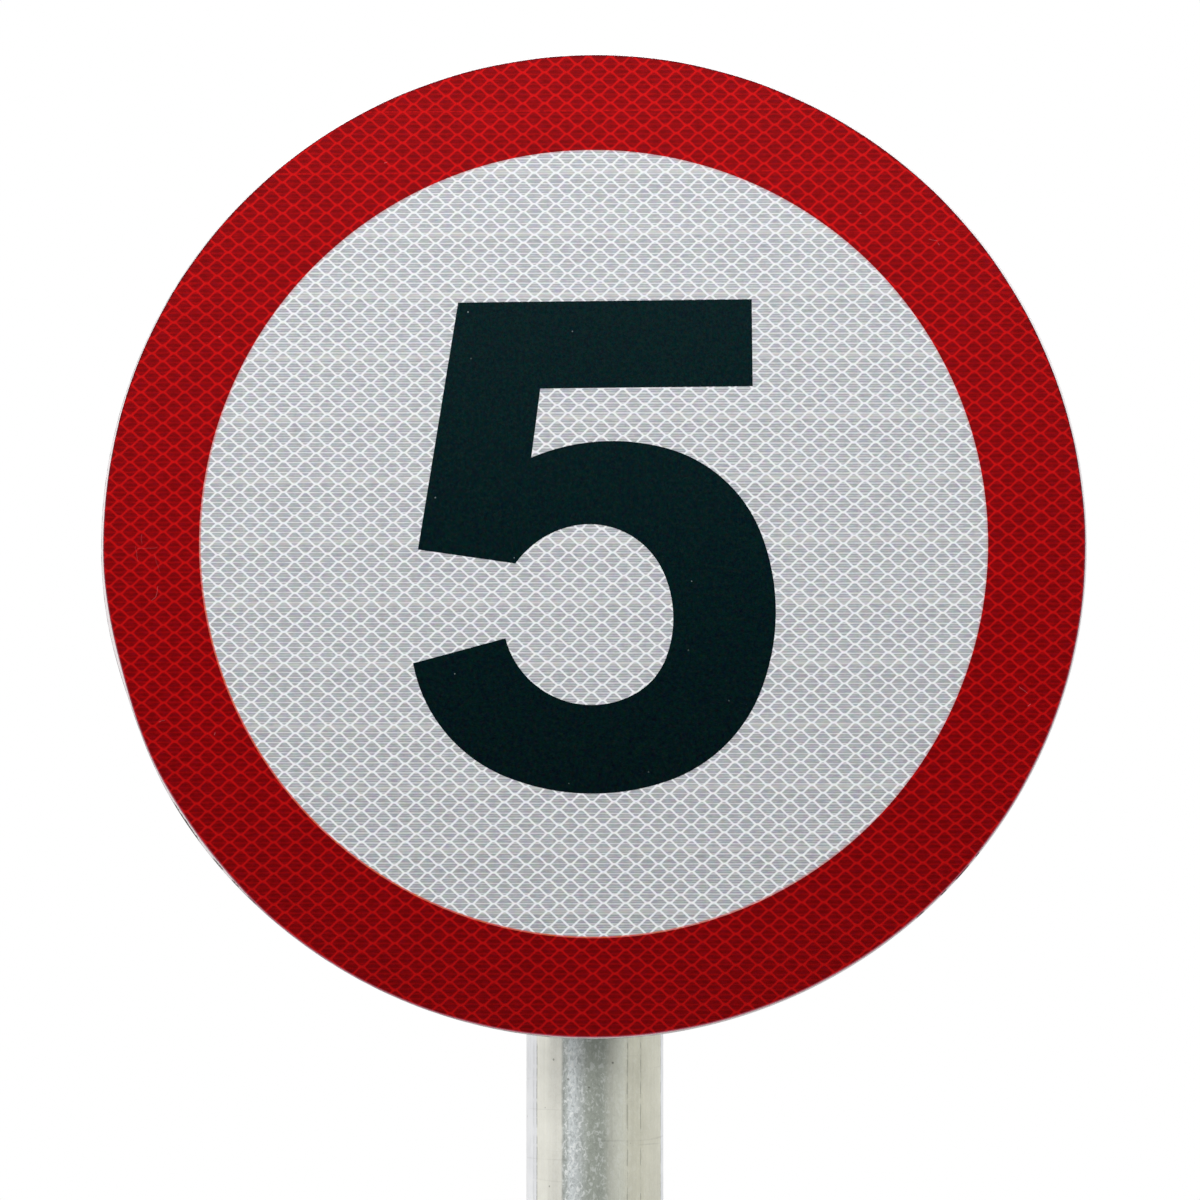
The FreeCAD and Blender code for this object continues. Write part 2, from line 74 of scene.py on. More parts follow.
def skin(rings, closed=False, capped=False):
    """A mesh of rings of points, joined with faces each to the next, which are turned outwards."""
    shape = bmesh.new()
    rings = [[shape.verts.new(point) for point in ring] for ring in rings]
    for ring, after in zip(rings, rings[1:] + (rings[:1] if closed else [])):
        for step in range(max(len(ring), len(after))):
            corners = [
                ring[step % len(ring)],
                ring[(step + 1) % len(ring)],
                after[(step + 1) % len(after)],
                after[step % len(after)],
            ]
            shape.faces.new(list(dict.fromkeys(corners)))
    if capped:
        for end in (rings[0], rings[-1]):
            shape.faces.new(end)
    bmesh.ops.recalc_face_normals(shape, faces=shape.faces)
    return shape


def turned(profile, axis, steps, middle=Vector(), closed=False):
    """A mesh turned about an axis, from points of (radius, place along the axis).

    A point that changes on its way round is a function of the turn.
    """
    rings = []
    for point in profile:
        ring = []
        for step in range(steps if callable(point) or point[0] else 1):
            turn = 2 * pi * step / steps
            radius, along = point(turn) if callable(point) else point
            across, up = radius * cos(turn), radius * sin(turn)
            spot = (across, along, up) if axis == "Y" else (across, up, along)
            ring.append(middle + Vector(spot))
        rings.append(ring)
    return skin(rings, closed)


def dent(degrees):
    """How far the knock has pushed the rim in, at an angle from the right, seen from the front."""
    return DENT_DEPTH * exp(-(((degrees - DENT_AT) / DENT_WIDTH) ** 2))


def dented(radius, along, turn):
    """A point of the blank's edge at a turn."""
    return radius - dent(turn * 180 / pi), along


def as_mesh(shape):
    """The mesh data of a shape, unless it is mesh data already."""
    if isinstance(shape, bpy.types.Mesh):
        return shape
    mesh = bpy.data.meshes.new("shape")
    shape.to_mesh(mesh)
    shape.free()
    return mesh


def in_scene(name, data):
    """A new object in the scene for a mesh, a lamp or a camera."""
    thing = bpy.data.objects.new(name, data)
    bpy.context.scene.collection.objects.link(thing)
    return thing


def settle(name, shape, material, slot, *nodes):
    """Makes a piece of a shape, smooth between its sharp edges, in place of its CAD nodes."""
    mesh = as_mesh(shape)
    mesh.name = name
    mesh.materials.clear()
    mesh.materials.append(material)
    mesh.shade_smooth()
    mesh.set_sharp_from_angle(angle=SHARP_ANGLE)
    piece = in_scene(name, mesh)
    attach(piece, "root")
    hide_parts(*nodes)


def linear(code):
    """The linear colour of an sRGB hex code."""
    parts = [int(code[place : place + 2], 16) / 255 for place in (1, 3, 5)]
    return [
        part / 12.92 if part <= 0.04045 else ((part + 0.055) / 1.055) ** 2.4
        for part in parts
    ] + [1.0]


def add_node(tree, kind, inputs=(), mode=None, out=None, **settings):
    """Adds a node, and gives back its first output in use, or the one that out names, or all.

    Inputs are links, values or hex codes, for the sockets in use in order, or by name. Those of
    MapRange are the value, where it comes from (two numbers) and where it leads to (two more).
    The mode is the operation, or MapRange's interpolation, or what Mix mixes if not colours.
    """
    node = tree.nodes.new(kind if "Node" in kind else f"ShaderNode{kind}")
    if kind == "Mix":
        settings["data_type"] = mode or "RGBA"
    elif mode:
        settings["interpolation_type" if kind == "MapRange" else "operation"] = mode
    for name, value in settings.items():
        setattr(node, name, value)
    if isinstance(inputs, dict):
        given = [(node.inputs[name], value) for name, value in inputs.items()]
    else:
        given = zip([socket for socket in node.inputs if socket.enabled], inputs)
    for socket, value in given:
        if isinstance(value, bpy.types.NodeSocket):
            tree.links.new(value, socket)
        else:
            socket.default_value = linear(value) if isinstance(value, str) else value
    if out == "all":
        return node.outputs
    return node.outputs[out] if out else next((end for end in node.outputs if end.enabled), None)


def new_material(name):
    """An empty material, what adds nodes to it, and the object's own coordinates."""
    material = bpy.data.materials.new(name)
    material.use_nodes = True
    material.node_tree.nodes.clear()
    add = partial(add_node, material.node_tree)
    return material, add, add("TexCoord", out="Object")


def finished(material, add, sockets):
    """Ends a material with a shader that has these inputs, and gives the material back."""
    add("OutputMaterial", (add("BsdfPrincipled", sockets),))
    return material


def drawn_grain(add, place, scale, detail, roughness=0.5, distortion=0, out=None):
    """Grain that is longer one way than another: how many fit in a unit along each axis."""
    sockets = {"Vector": add("Mapping", {"Vector": place, "Scale": scale}), "Scale": 1}
    sockets |= {"Detail": detail, "Roughness": roughness, "Distortion": distortion}
    return add("TexNoise", sockets, out=out)


def beside(add, value, where, near, far, most):
    """The most where a value is near to a place, and 0 where it is far from it."""
    off = add("Math", (add("Math", (value, where), "SUBTRACT"),), "ABSOLUTE")
    return add("MapRange", (off, near, far, most, 0))


def rolled_aluminium():
    """Sheet aluminium: mill finish with roll lines behind, etched pale in front, painted shade on
    the edge.
    """
    material, add, place = new_material("mill_finish_aluminium_sheet")
    # Roll lines are finer than this, and are drawn at 0.9 mm so that they show.
    line_pitch = 0.9 * MM
    line_length = 140 * MM
    line_scale = (1 / line_length, 1 / line_pitch, 1 / line_pitch)
    lines = drawn_grain(add, place, line_scale, detail=4, roughness=0.7)
    # A scale of 11 is 11 in a metre, which makes smudges that are 90 mm across.
    smudges = add("TexNoise", {"Vector": place, "Scale": 11, "Detail": 6, "Roughness": 0.62})
    tone = add("Mix", (lines, "#A8ABAE", "#C6C9CB"))
    # Handling and rain leave the back duller in soft patches.
    dull = add("MapRange", (smudges, 0.42, 0.68, 0, 0.55), "SMOOTHSTEP")
    handled = add("Mix", (dull, tone, "#94979A"))
    rough = add("MapRange", (smudges, 0.3, 0.7, 0.42, 0.56))
    relief = add("Bump", {"Height": lines, "Strength": 0.4, "Distance": 0.03 * MM})
    # The normal tells the etched front from the punched edge, which is painted dark here as shade.
    faced = add("SeparateXYZ", (add("NewGeometry", out="Normal"),), out="Y")
    front = add("MapRange", (faced, -0.05, -0.35))
    sideways = add("MapRange", (add("Math", (faced,), "ABSOLUTE"), 0.88, 0.995, 1, 0))
    # Most of that painted shade, in patches of 7 mm, sits on the left.
    edge_shade_noise = add("TexNoise", {"Vector": place, "Scale": 150, "Detail": 3, "Roughness": 0.6})
    from_middle = add("VectorMath", (place, face_middle), "SUBTRACT")
    outwards = add(
        "VectorMath", (from_middle, Vector((-0.87, 0, -0.5)) / blank_radius), "DOT_PRODUCT"
    )
    shaded_side = add("MapRange", (outwards, 0.1, 0.6, 0.03), "SMOOTHSTEP")
    patchy = add("MapRange", (edge_shade_noise, 0.42, 0.54, 0.3))
    patched = add("Math", (patchy, shaded_side), "MULTIPLY")
    # Marks of painted shade reach half a millimetre onto the front, with sides that are ragged
    # every millimetre.
    around = add("SeparateXYZ", (from_middle,), out="all")
    turn = add("Math", (add("Math", (around["Z"], around["X"]), "ARCTAN2"), 180 / pi), "MULTIPLY")
    flat = add("VectorMath", (from_middle, (1, 0, 1)), "MULTIPLY")
    ragged = add("TexNoise", {"Vector": place, "Scale": 900, "Detail": 2})
    reach = add("Math", (ragged, 0.7 * MM, add("VectorMath", (flat,), "LENGTH")), "MULTIPLY_ADD")
    at_rim = add("MapRange", (reach, blank_radius - 0.35 * MM, blank_radius - 0.15 * MM))
    scuffs_and_painted_shade = add("Math", (sideways, patched), "MULTIPLY")
    for degrees, half_length, strength in RIM_SHADE_MARKS:
        near = beside(add, turn, degrees - 360, half_length * 0.8, half_length * 1.1, strength)
        mark = add("Math", (near, at_rim), "MULTIPLY")
        scuffs_and_painted_shade = add("Math", (scuffs_and_painted_shade, mark), "MAXIMUM")
    etched = add("Mix", (front, handled, "#F7F1F2"))
    # The edge and the marks are painted dark brown as shade.
    with_painted_edge = add("Mix", (scuffs_and_painted_shade, etched, "#3C322A"))
    covered = add("Math", (front, scuffs_and_painted_shade), "MAXIMUM")
    metal = add("MapRange", (covered, 0, 1, 1.0, 0.15))
    sockets = {"Base Color": with_painted_edge, "Metallic": metal, "Roughness": rough, "Normal": relief}
    return finished(material, add, sockets)


blank_profile = [(0, -blank_half)]
for quarter, side in enumerate((-1, 1)):
    for step in range(ROUND_STEPS + 1):
        angle = pi / 2 * (quarter + step / ROUND_STEPS)
        radius = blank_radius - EDGE_ROUND + EDGE_ROUND * sin(angle)
        along = side * (blank_half - EDGE_ROUND) - EDGE_ROUND * cos(angle)
        blank_profile.append(partial(dented, radius, along))
blank_profile.append((0, blank_half))
blank_shape = turned(blank_profile, "Y", 480, face_middle)
settle("blank", blank_shape, rolled_aluminium(), "mill_aluminium", "sign_plate")

# The sheeting is clear film over rows of tiny prisms, sealed together along a lattice of
# diamonds. It was laid on the blank and trimmed by hand, so its edge wanders. Each row of the
# table is an angle, a width in degrees, and how far the edge moves outwards in millimetres.
TRIM = (
    (28, 20, -0.25),
    (85, 10, 0.17),
    (142, 24, 0.45),
    (172, 6, -0.2),
    (195, 8, -1.4),
    (216, 7, -0.35),
    (232, 7, 0.5),
    (246, 16, 0.6),
    (268, 16, 0.15),
    (318, 26, 0.22),
)
sheeting_low, sheeting_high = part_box("white_sheeting")
sheeting_middle = (sheeting_low + sheeting_high) / 2
sheeting_radius = (sheeting_high.x - sheeting_low.x) / 2
TRIM_LIMIT = blank_radius - 0.35 * MM
WINDOW_RADIUS = 180 * MM
WINDOW_MIDDLE = sheeting_middle + Vector((-0.18 * MM, 0, 0.71 * MM))
EDGE_STEPS = 720


def trimmed_edge(degrees):
    """A point of the trimmed edge, seen from the front, at an angle from the right."""
    reach = sheeting_radius
    for middle, width, depth in TRIM:
        away = (degrees - middle + 180) % 360 - 180
        reach += depth * MM * exp(-((away / width) ** 2))
    # The knife itself wavers a little.
    reach += 0.05 * MM * sin(radians(degrees) * 37) * cos(radians(degrees) * 5)
    turn = radians(degrees)
    spot = sheeting_middle + reach * Vector((cos(turn), 0, sin(turn)))
    out = spot - face_middle
    out.y = 0
    limit = TRIM_LIMIT - dent(degrees)
    if out.length > limit:
        spot -= out * (1 - limit / out.length)
    return spot


def cut_ring(edge, inset, depth):
    """A ring of points along an edge, or a little inwards of it, at a depth."""
    ring = []
    for step in range(EDGE_STEPS):
        spot = edge(360 * step / EDGE_STEPS)
        spot += (sheeting_middle - spot).normalized() * inset
        ring.append((spot.x, depth, spot.z))
    return ring


sheeting_shape = skin(
    [
        [(sheeting_middle.x, sheeting_low.y, sheeting_middle.z)],
        cut_ring(trimmed_edge, 0.4 * MM, sheeting_low.y),
        cut_ring(trimmed_edge, 0, sheeting_low.y),
        cut_ring(trimmed_edge, 0, sheeting_high.y),
        [(sheeting_middle.x, sheeting_high.y, sheeting_middle.z)],
    ]
)

# Seals: 10.0 x 7.1 mm diamonds, turned 0.3 degrees, whose lines meet in short level bridges. The
# prism rows under them and the tiles of the tool that pressed them are in millimetres as well.
DIAMOND_WIDTH = 10.02
DIAMOND_HEIGHT = 7.102
BRIDGE_HALF = 0.7
LATTICE_TURN = 0.3
LATTICE_START = (-1.11, -3.47)
ROW_PITCH = 2.284
ROW_START = -1.35
BETWEEN_START = -0.21
TILE_WIDTH = 35.1
TILE_HEIGHT = 28.16
TILE_START = (15.94, 1.82)
FACE_TOP = 210


def face_coordinates(add, place, turn=-0.1, start=(0, 0)):
    """Millimetres from the middle of the face, turned by tenths of a degree, and their parts."""
    centred = add("VectorMath", (place, face_middle), "SUBTRACT")
    face = add(
        "Mapping",
        {
            "Vector": centred,
            "Location": (-start[0], 0, -start[1]),
            "Rotation": (0, radians(turn), 0),
            "Scale": (1 / MM, 1 / MM, 1 / MM),
        },
    )
    return face, add("SeparateXYZ", (face,), out="all")


def seal_distance(add, place, corner):
    """How far a point of the face is from the nearest seal, in mm, with rounded cell corners."""
    split = face_coordinates(add, place, LATTICE_TURN, LATTICE_START)[1]
    half_width = DIAMOND_WIDTH / 2
    half_height = DIAMOND_HEIGHT / 2
    # Mirroring folds the face onto a quarter of one diamond, which has a node at two corners.
    across = add("Math", (split["X"], half_width), "PINGPONG")
    up = add("Math", (split["Z"], half_height), "PINGPONG")
    run = half_width - 2 * BRIDGE_HALF
    slant = hypot(run, half_height)
    along_across = add("Math", (across, half_height / slant), "MULTIPLY")
    signed = add("Math", (up, -run / slant, along_across), "MULTIPLY_ADD")
    centred = add("Math", (signed, half_height * BRIDGE_HALF / slant), "SUBTRACT")
    from_line = add("Math", (centred,), "ABSOLUTE")
    past_bridge = add("Math", (across, BRIDGE_HALF), "SUBTRACT")
    from_bridge = add("Math", (past_bridge, up), "MAXIMUM")
    before_far = add("Math", (half_width - BRIDGE_HALF, across), "SUBTRACT")
    below_far = add("Math", (half_height, up), "SUBTRACT")
    from_far = add("Math", (before_far, below_far), "MAXIMUM")
    from_bridges = add("Math", (from_bridge, from_far), "MINIMUM")
    return add("Math", (from_line, from_bridges, corner), "SMOOTH_MIN")


def crest(add, value, period, start, wide):
    """1 on crests of a given width that repeat along a length, falling softly to 0 between."""
    turn = add("Math", (value, 2 * pi / period, -2 * pi * start / period), "MULTIPLY_ADD")
    swing = add("Math", (turn,), "COSINE")
    shoulder = cos(pi * min(wide * 1.4, period) / period)
    top = cos(pi * wide * 0.5 / period)
    return add("MapRange", (swing, shoulder, top), "SMOOTHSTEP")


def painted_light_by_height(add, up, share):
    """A factor of painted light: larger at the top of the sign than at its foot, by a share each
    way.
    """
    return add("MapRange", (up, -FACE_TOP, FACE_TOP, 1 - share, 1 + share))


def prismatic_sheeting():
    """White prismatic sheeting: grey prism rows between white seals, with a play of colour."""
    material, add, place = new_material("white_prismatic_sheeting")
    face, parts = face_coordinates(add, place)
    tiles = face_coordinates(add, place, LATTICE_TURN)[1]
    up = parts["Z"]
    from_seal = seal_distance(add, place, 0.6)
    # Prism rows: a light line every 2.284 mm, in dashes of 6 mm, and a fainter one between. Their
    # grain is 1.4 by 0.4 mm. Scales on the face count in a millimetre.
    row_line = crest(add, up, ROW_PITCH, ROW_START, 0.6)
    between = crest(add, up, ROW_PITCH, BETWEEN_START, 0.5)
    dashes = drawn_grain(add, face, (0.16, 1, 0.9), detail=2)
    line_share = add("MapRange", (dashes, 0.3, 0.6, 0.55, 1.0))
    between_share = add("MapRange", (dashes, 0.42, 0.7, 0.5, 0.0))
    faint_lines = add("Math", (between, between_share), "MULTIPLY")
    lines = add("Math", (row_line, line_share, faint_lines), "MULTIPLY_ADD")
    grain = drawn_grain(add, face, (0.7, 1, 2.4), detail=3, roughness=0.7)
    grained = add("Math", (grain, 0.9, -0.42), "MULTIPLY_ADD")
    row_mix = add("Math", (grained, lines), "ADD", use_clamp=True)
    prisms = add("Mix", (row_mix, "#A6A9AF", "#E3E5E7"))
    # The prism tool is made of tiles: they join in level bands without rows, and faint uprights.
    level_band = crest(add, tiles["Z"], TILE_HEIGHT, TILE_START[1], 1.9)
    band_share = add("Math", (level_band, 0.5), "MULTIPLY")
    upright_line = crest(add, tiles["X"], TILE_WIDTH, TILE_START[0], 0.8)
    upright_share = add("Math", (upright_line, 0.25), "MULTIPLY")
    joins = add("Math", (band_share, upright_share), "MAXIMUM")
    joined = add("Mix", (joins, prisms, "#D4D3D0"))
    # Each tile is a little darker at its top than at its bottom.
    counted = add(
        "Math", (tiles["Z"], 1 / TILE_HEIGHT, -TILE_START[1] / TILE_HEIGHT), "MULTIPLY_ADD"
    )
    tile = add("Math", (counted,), "FRACT")
    tile_tone = add("MapRange", (tile, 0, 1, 1.03, 0.965))
    # The whole face is painted lighter towards the top and darker towards the foot: painted light.
    tile_tone_and_painted_light = add("Math", (tile_tone, painted_light_by_height(add, up, 0.1)), "MULTIPLY")
    shaded = add("VectorMath", (joined, tile_tone_and_painted_light), "SCALE")
    # Seals are white, a millimetre wide, and a little uneven every 2 mm of their length.
    seal_wear = add("TexNoise", {"Vector": face, "Scale": 0.45, "Detail": 2})
    wear = add("Math", (seal_wear, 0.3, -0.15), "MULTIPLY_ADD")
    seal = add("MapRange", (add("Math", (wear, from_seal), "ADD"), 0.2, 0.66, 1, 0), "SMOOTHSTEP")
    sealed = add("Mix", (seal, shaded, "#F5F7FA"))
    # Light leaks sideways in the prisms, so the white turns pink next to the red film.
    from_window = add("VectorMath", (place, WINDOW_MIDDLE), "DISTANCE")
    leak = add(
        "MapRange", (from_window, WINDOW_RADIUS - 1.3 * MM, WINDOW_RADIUS - 0.1 * MM, 0, 0.3),
        "SMOOTHSTEP",
    )
    leaked = add("Mix", (leak, sealed, "#E0606A"))
    # Low on the left the film's cut edge itself glows as a thin orange line.
    downwards = add("VectorMath", (face, (-0.6, 0, -0.8)), "DOT_PRODUCT")
    glow_low = add("MapRange", (downwards, 20, 140, 0, 0.85))
    at_cut = add("MapRange", (from_window, WINDOW_RADIUS - 0.9 * MM, WINDOW_RADIUS - 0.5 * MM))
    glowing = add("Math", (glow_low, at_cut), "MULTIPLY")
    lined = add("Mix", (glowing, leaked, "#DC4A1C"))
    # The prisms split the light, so patches of 3 by 1 mm turn faintly blue, green or pink.
    play = drawn_grain(add, face, (0.3, 1, 0.75), detail=2, out="Color")
    played = add("Mix", (0.1, lined, play), blend_type="LINEAR_LIGHT")
    relief = add("Bump", {"Height": from_seal, "Strength": 0.25, "Distance": 0.02 * MM})
    sockets = {"Base Color": played, "Roughness": 0.2, "IOR": 1.49, "Normal": relief}
    return finished(material, add, sockets)


settle("sheeting", sheeting_shape, prismatic_sheeting(), "prismatic_sheeting", "white_sheeting")

# The border is one ring of transparent red film over the sheeting, trimmed with it, so the seals
# run on under it, wider and softer than in the white field. Each row of the table is a scratch:
# millimetres right and up of the middle, its direction in degrees, its length and its strength.
SCRATCHES = (
    (-206.4, 2.6, 94, 4, 0.14),
    (-208.6, -4.4, 100, 7, 0.12),
    (-203.6, -1.8, 4, 9, 0.14),
    (-199.4, -8.6, 106, 9, 0.09),
    (-199.2, -21.6, 80, 5, 0.3),
    (-200.6, -24.8, 40, 3, 0.2),
    (-171.2, 95.0, 20, 0.9, 0.5),
    (196.0, -66.0, 140, 5, 0.3),
    (198.8, -72.9, 40, 1.6, 0.4),
    (155.0, 139.4, -12, 4, 0.3),
    (157.4, 137.6, -60, 1.6, 0.3),
    (122.0, 151.6, 0, 0.8, 0.5),
    (-95.3, 175.1, 20, 1.2, 0.5),
    (-196.8, -80.7, 15, 3, 0.25),
    (-172.5, -86.4, 80, 1.2, 0.4),
)
SCRATCH_HALF = 0.13
border_low, border_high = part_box("red_border_film")


def window_edge(degrees):
    """A point of the film's inner edge, which was cut as a plain circle."""
    turn = radians(degrees)
    return WINDOW_MIDDLE + WINDOW_RADIUS * Vector((cos(turn), 0, sin(turn)))


border_shape = skin(
    [
        cut_ring(trimmed_edge, 0.65 * MM, border_low.y),
        cut_ring(trimmed_edge, 0.04 * MM, border_low.y),
        cut_ring(trimmed_edge, 0, border_high.y),
        cut_ring(window_edge, 0, border_high.y),
        cut_ring(window_edge, 0, border_low.y),
    ],
    closed=True,
)
# The second and third rings are the trimmed cut, which the material finds by this attribute.
cut_layer = border_shape.verts.layers.float.new("cut")
for corner in list(border_shape.verts)[EDGE_STEPS : 3 * EDGE_STEPS]:
    corner[cut_layer] = 1.0


def red_film():
    """Transparent red film on white sheeting: bright red seals round deep red prism cells."""
    material, add, place = new_material("red_overlay_film")
    face, parts = face_coordinates(add, place)
    tiles = face_coordinates(add, place, LATTICE_TURN)[1]
    up = parts["Z"]
    from_seal = seal_distance(add, place, 1.3)
    # The film blurs the seals, unevenly every 2 mm.
    blur = add("TexNoise", {"Vector": face, "Scale": 0.5, "Detail": 3})
    wear = add("Math", (blur, 0.4, -0.2), "MULTIPLY_ADD")
    seal = add("MapRange", (add("Math", (wear, from_seal), "ADD"), 0.0, 0.8, 1, 0), "SMOOTHSTEP")
    # The joins between the tiles of the prism tool show as one thin bright line, best at the top.
    join_line = crest(add, tiles["Z"], TILE_HEIGHT, TILE_START[1], 0.7)
    join_share = add("Math", (join_line, add("MapRange", (blur, 0.3, 0.7))), "MULTIPLY")
    join_fade = add("MapRange", (up, 80, 195, 0.06, 1.0))
    bright = add("Math", (seal, add("Math", (join_share, join_fade), "MULTIPLY")), "MAXIMUM")
    # Patches of 3 by 1 mm differ, with the prism rows faint in them and a blue cast in some.
    row_line = crest(add, up, ROW_PITCH, ROW_START, 0.8)
    patches = drawn_grain(add, face, (0.3, 1, 0.8), detail=4, roughness=0.65, out="all")
    patched = add("Math", (patches["Fac"], 2.4, -1.05), "MULTIPLY_ADD")
    cell_mix = add("Math", (row_line, 0.55, patched), "MULTIPLY_ADD", use_clamp=True)
    cells = add("Mix", (cell_mix, "#790104", "#A00206"))
    blue = add("SeparateColor", (patches["Color"],), out="Blue")
    cast = add("MapRange", (blue, 0.5, 0.7, 0, 0.5))
    cast_cells = add("Mix", (cast, cells, "#86041C"))
    face_colour = add("Mix", (bright, cast_cells, "#C3090B"))
    # The film is painted lighter towards the top of the sign, as painted light, with a faint pale
    # painted sheen there, and varies unevenly in clouds of 11 mm.
    cloud = add("TexNoise", {"Vector": face, "Scale": 0.09, "Detail": 2})
    uneven = add("MapRange", (cloud, 0.3, 0.7, 0.93, 1.07))
    clouds_and_painted_light = add("Math", (uneven, painted_light_by_height(add, up, 0.21)), "MULTIPLY")
    top_lit_colour = add("VectorMath", (face_colour, clouds_and_painted_light), "SCALE")
    painted_top_sheen = add("MapRange", (up, -60, 200, 0, 0.0085))
    with_painted_sheen = add("Mix", (painted_top_sheen, top_lit_colour, "#E0A8AC"))
    # The trimmed edge is painted dark at the top, as painted shade, and pink at the bottom, where
    # light comes out of it.
    cut = add("Attribute", out="Fac", attribute_name="cut")
    edge_shade_and_glow = add("Math", (cut, 0.92), "MULTIPLY")
    low_down = add("MapRange", (up, 60, -120))
    cut_tone = add("Mix", (low_down, "#1E0A18", "#C46A80"))
    with_painted_edge = add("Mix", (edge_shade_and_glow, with_painted_sheen, cut_tone))
    # Hair scratches: short light lines that bend a little every 3 mm.
    bend = add("TexNoise", {"Vector": face, "Scale": 0.35, "Detail": 1}, out="Color")
    bend_by = add("VectorMath", (bend, (0.5, 0.5, 0.5)), "SUBTRACT")
    bent = add("VectorMath", (bend_by, (1, 0, 1), face), "MULTIPLY_ADD")
    scratched = 0.0
    for x, z, degrees, length, strength in SCRATCHES:
        along = add(
            "Mapping",
            {"Vector": bent, "Location": (x, 0, z), "Rotation": (0, -radians(degrees), 0)},
            vector_type="TEXTURE",
        )
        parts = add("SeparateXYZ", (along,), out="all")
        line = add("Math", (parts["Z"], 0, SCRATCH_HALF), "COMPARE")
        both = add("Math", (line, add("Math", (parts["X"], 0, length / 2), "COMPARE")), "MULTIPLY")
        mark = add("Math", (both, strength), "MULTIPLY")
        scratched = add("Math", (scratched, mark), "MAXIMUM")
    marked = add("Mix", (scratched, with_painted_edge, "#E8787C"))
    return finished(material, add, {"Base Color": marked, "Roughness": 0.13, "IOR": 1.47})


settle("border_film", border_shape, red_film(), "red_film", "red_border_film")

# The numeral is plotter-cut from opaque black film and pressed on by hand. It is semi-gloss and
# very slightly green, with the sheeting's texture faint in it and a few specks of dust. Each row
# of the table is a larger speck: millimetres right and up of the middle, its radius and strength.
DUST = (
    (-57.4, 106.5, 0.45, 0.8),
    (-56.0, 85.2, 0.45, 0.25),
    (43.5, -48.0, 0.5, 0.2),
    (62.0, -71.0, 0.45, 0.2),
    (25.4, -103.5, 0.45, 0.2),
)
DUST_CELL = 9


def black_film():
    """Opaque black cut film: semi-gloss, faintly mottled by what is under it, with dust."""
    material, add, place = new_material("black_cut_film")
    face, parts = face_coordinates(add, place)
    up = parts["Z"]
    # The mottle has a grain of 1 mm, and the tint drifts over 2 mm.
    mottle = add("TexNoise", {"Vector": face, "Scale": 0.9, "Detail": 5, "Roughness": 0.75})
    spread = add("MapRange", (mottle, 0.37, 0.63))
    tone = add("Mix", (spread, "#011317", "#022022"))
    # Painted light: lighter towards the top, with a faint pale painted sheen there.
    top_lit_colour = add("VectorMath", (tone, painted_light_by_height(add, up, 0.5)), "SCALE")
    painted_top_sheen = add("MapRange", (up, -40, 110, 0, 0.01))
    with_painted_sheen = add("Mix", (painted_top_sheen, top_lit_colour, "#948A84"))
    tint = add(
        "TexNoise", {"Vector": face, "Scale": 0.55, "Detail": 4, "Roughness": 0.7}, out="Color"
    )
    tinted = add("Mix", (0.013, with_painted_sheen, tint), blend_type="LINEAR_LIGHT")
    # Nearly half of the cells, 9 mm wide, hold a small speck of up to 0.4 mm.
    specks = add("TexVoronoi", {"Vector": face, "Scale": 1 / DUST_CELL}, out="all")
    size = add("SeparateColor", (specks["Color"],))
    reach = add("MapRange", (size, 0.55, 1.0, 0.0, 0.045))
    dot = add("Math", (specks["Distance"], reach), "LESS_THAN")
    dust = add("Math", (dot, 0.3), "MULTIPLY")
    for x, z, reach, strength in DUST:
        away = add("VectorMath", (face, (x, 0, z)), "SUBTRACT")
        flat = add("VectorMath", (away, (1, 0, 1)), "MULTIPLY")
        speck = add("MapRange", (add("VectorMath", (flat,), "LENGTH"), reach, 0, 0, strength))
        dust = add("Math", (dust, speck), "MAXIMUM")
    dusted = add("Mix", (dust, tinted, "#B4C0C0"))
    return finished(material, add, {"Base Color": dusted, "Roughness": 0.15, "IOR": 1.46})


numeral_film = black_film()
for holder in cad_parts["black_numeral"].material_slots:
    holder.material = numeral_film

# Four strips of grey acrylic foam tape bond the channels to the blank, two under each flange.
# They are pressed hard, so their sides bulge unevenly.
tape_low, tape_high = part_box("upper_top_tape")
second_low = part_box("upper_bottom_tape")[0]
upper_low, upper_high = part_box("upper_channel")
lower_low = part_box("lower_channel")[0]
tape_length, tape_thick, tape_width = tape_high - tape_low
CHANNEL_SPACING = upper_low.z - lower_low.z
TAPE_STEPS = 90
BULGE = 0.22 * MM


def foam_tape():
    """Closed-cell acrylic foam: matt grey, with fine pores on its cut edges."""
    material, add, place = new_material("acrylic_foam_tape")
    # Pores are 0.35 mm wide, and the tone drifts over 17 mm.
    pores = add("TexVoronoi", {"Vector": place, "Scale": 1 / (0.35 * MM)})
    patches = add("TexNoise", {"Vector": place, "Scale": 60, "Detail": 3})
    mixed = add("Math", (pores, patches), "MULTIPLY")
    tone = add("Mix", (mixed, "#3F4143", "#66686B"))
    relief = add("Bump", {"Height": pores, "Strength": 0.6, "Distance": 0.1 * MM})
    return finished(material, add, {"Base Color": tone, "Roughness": 0.85, "Normal": relief})


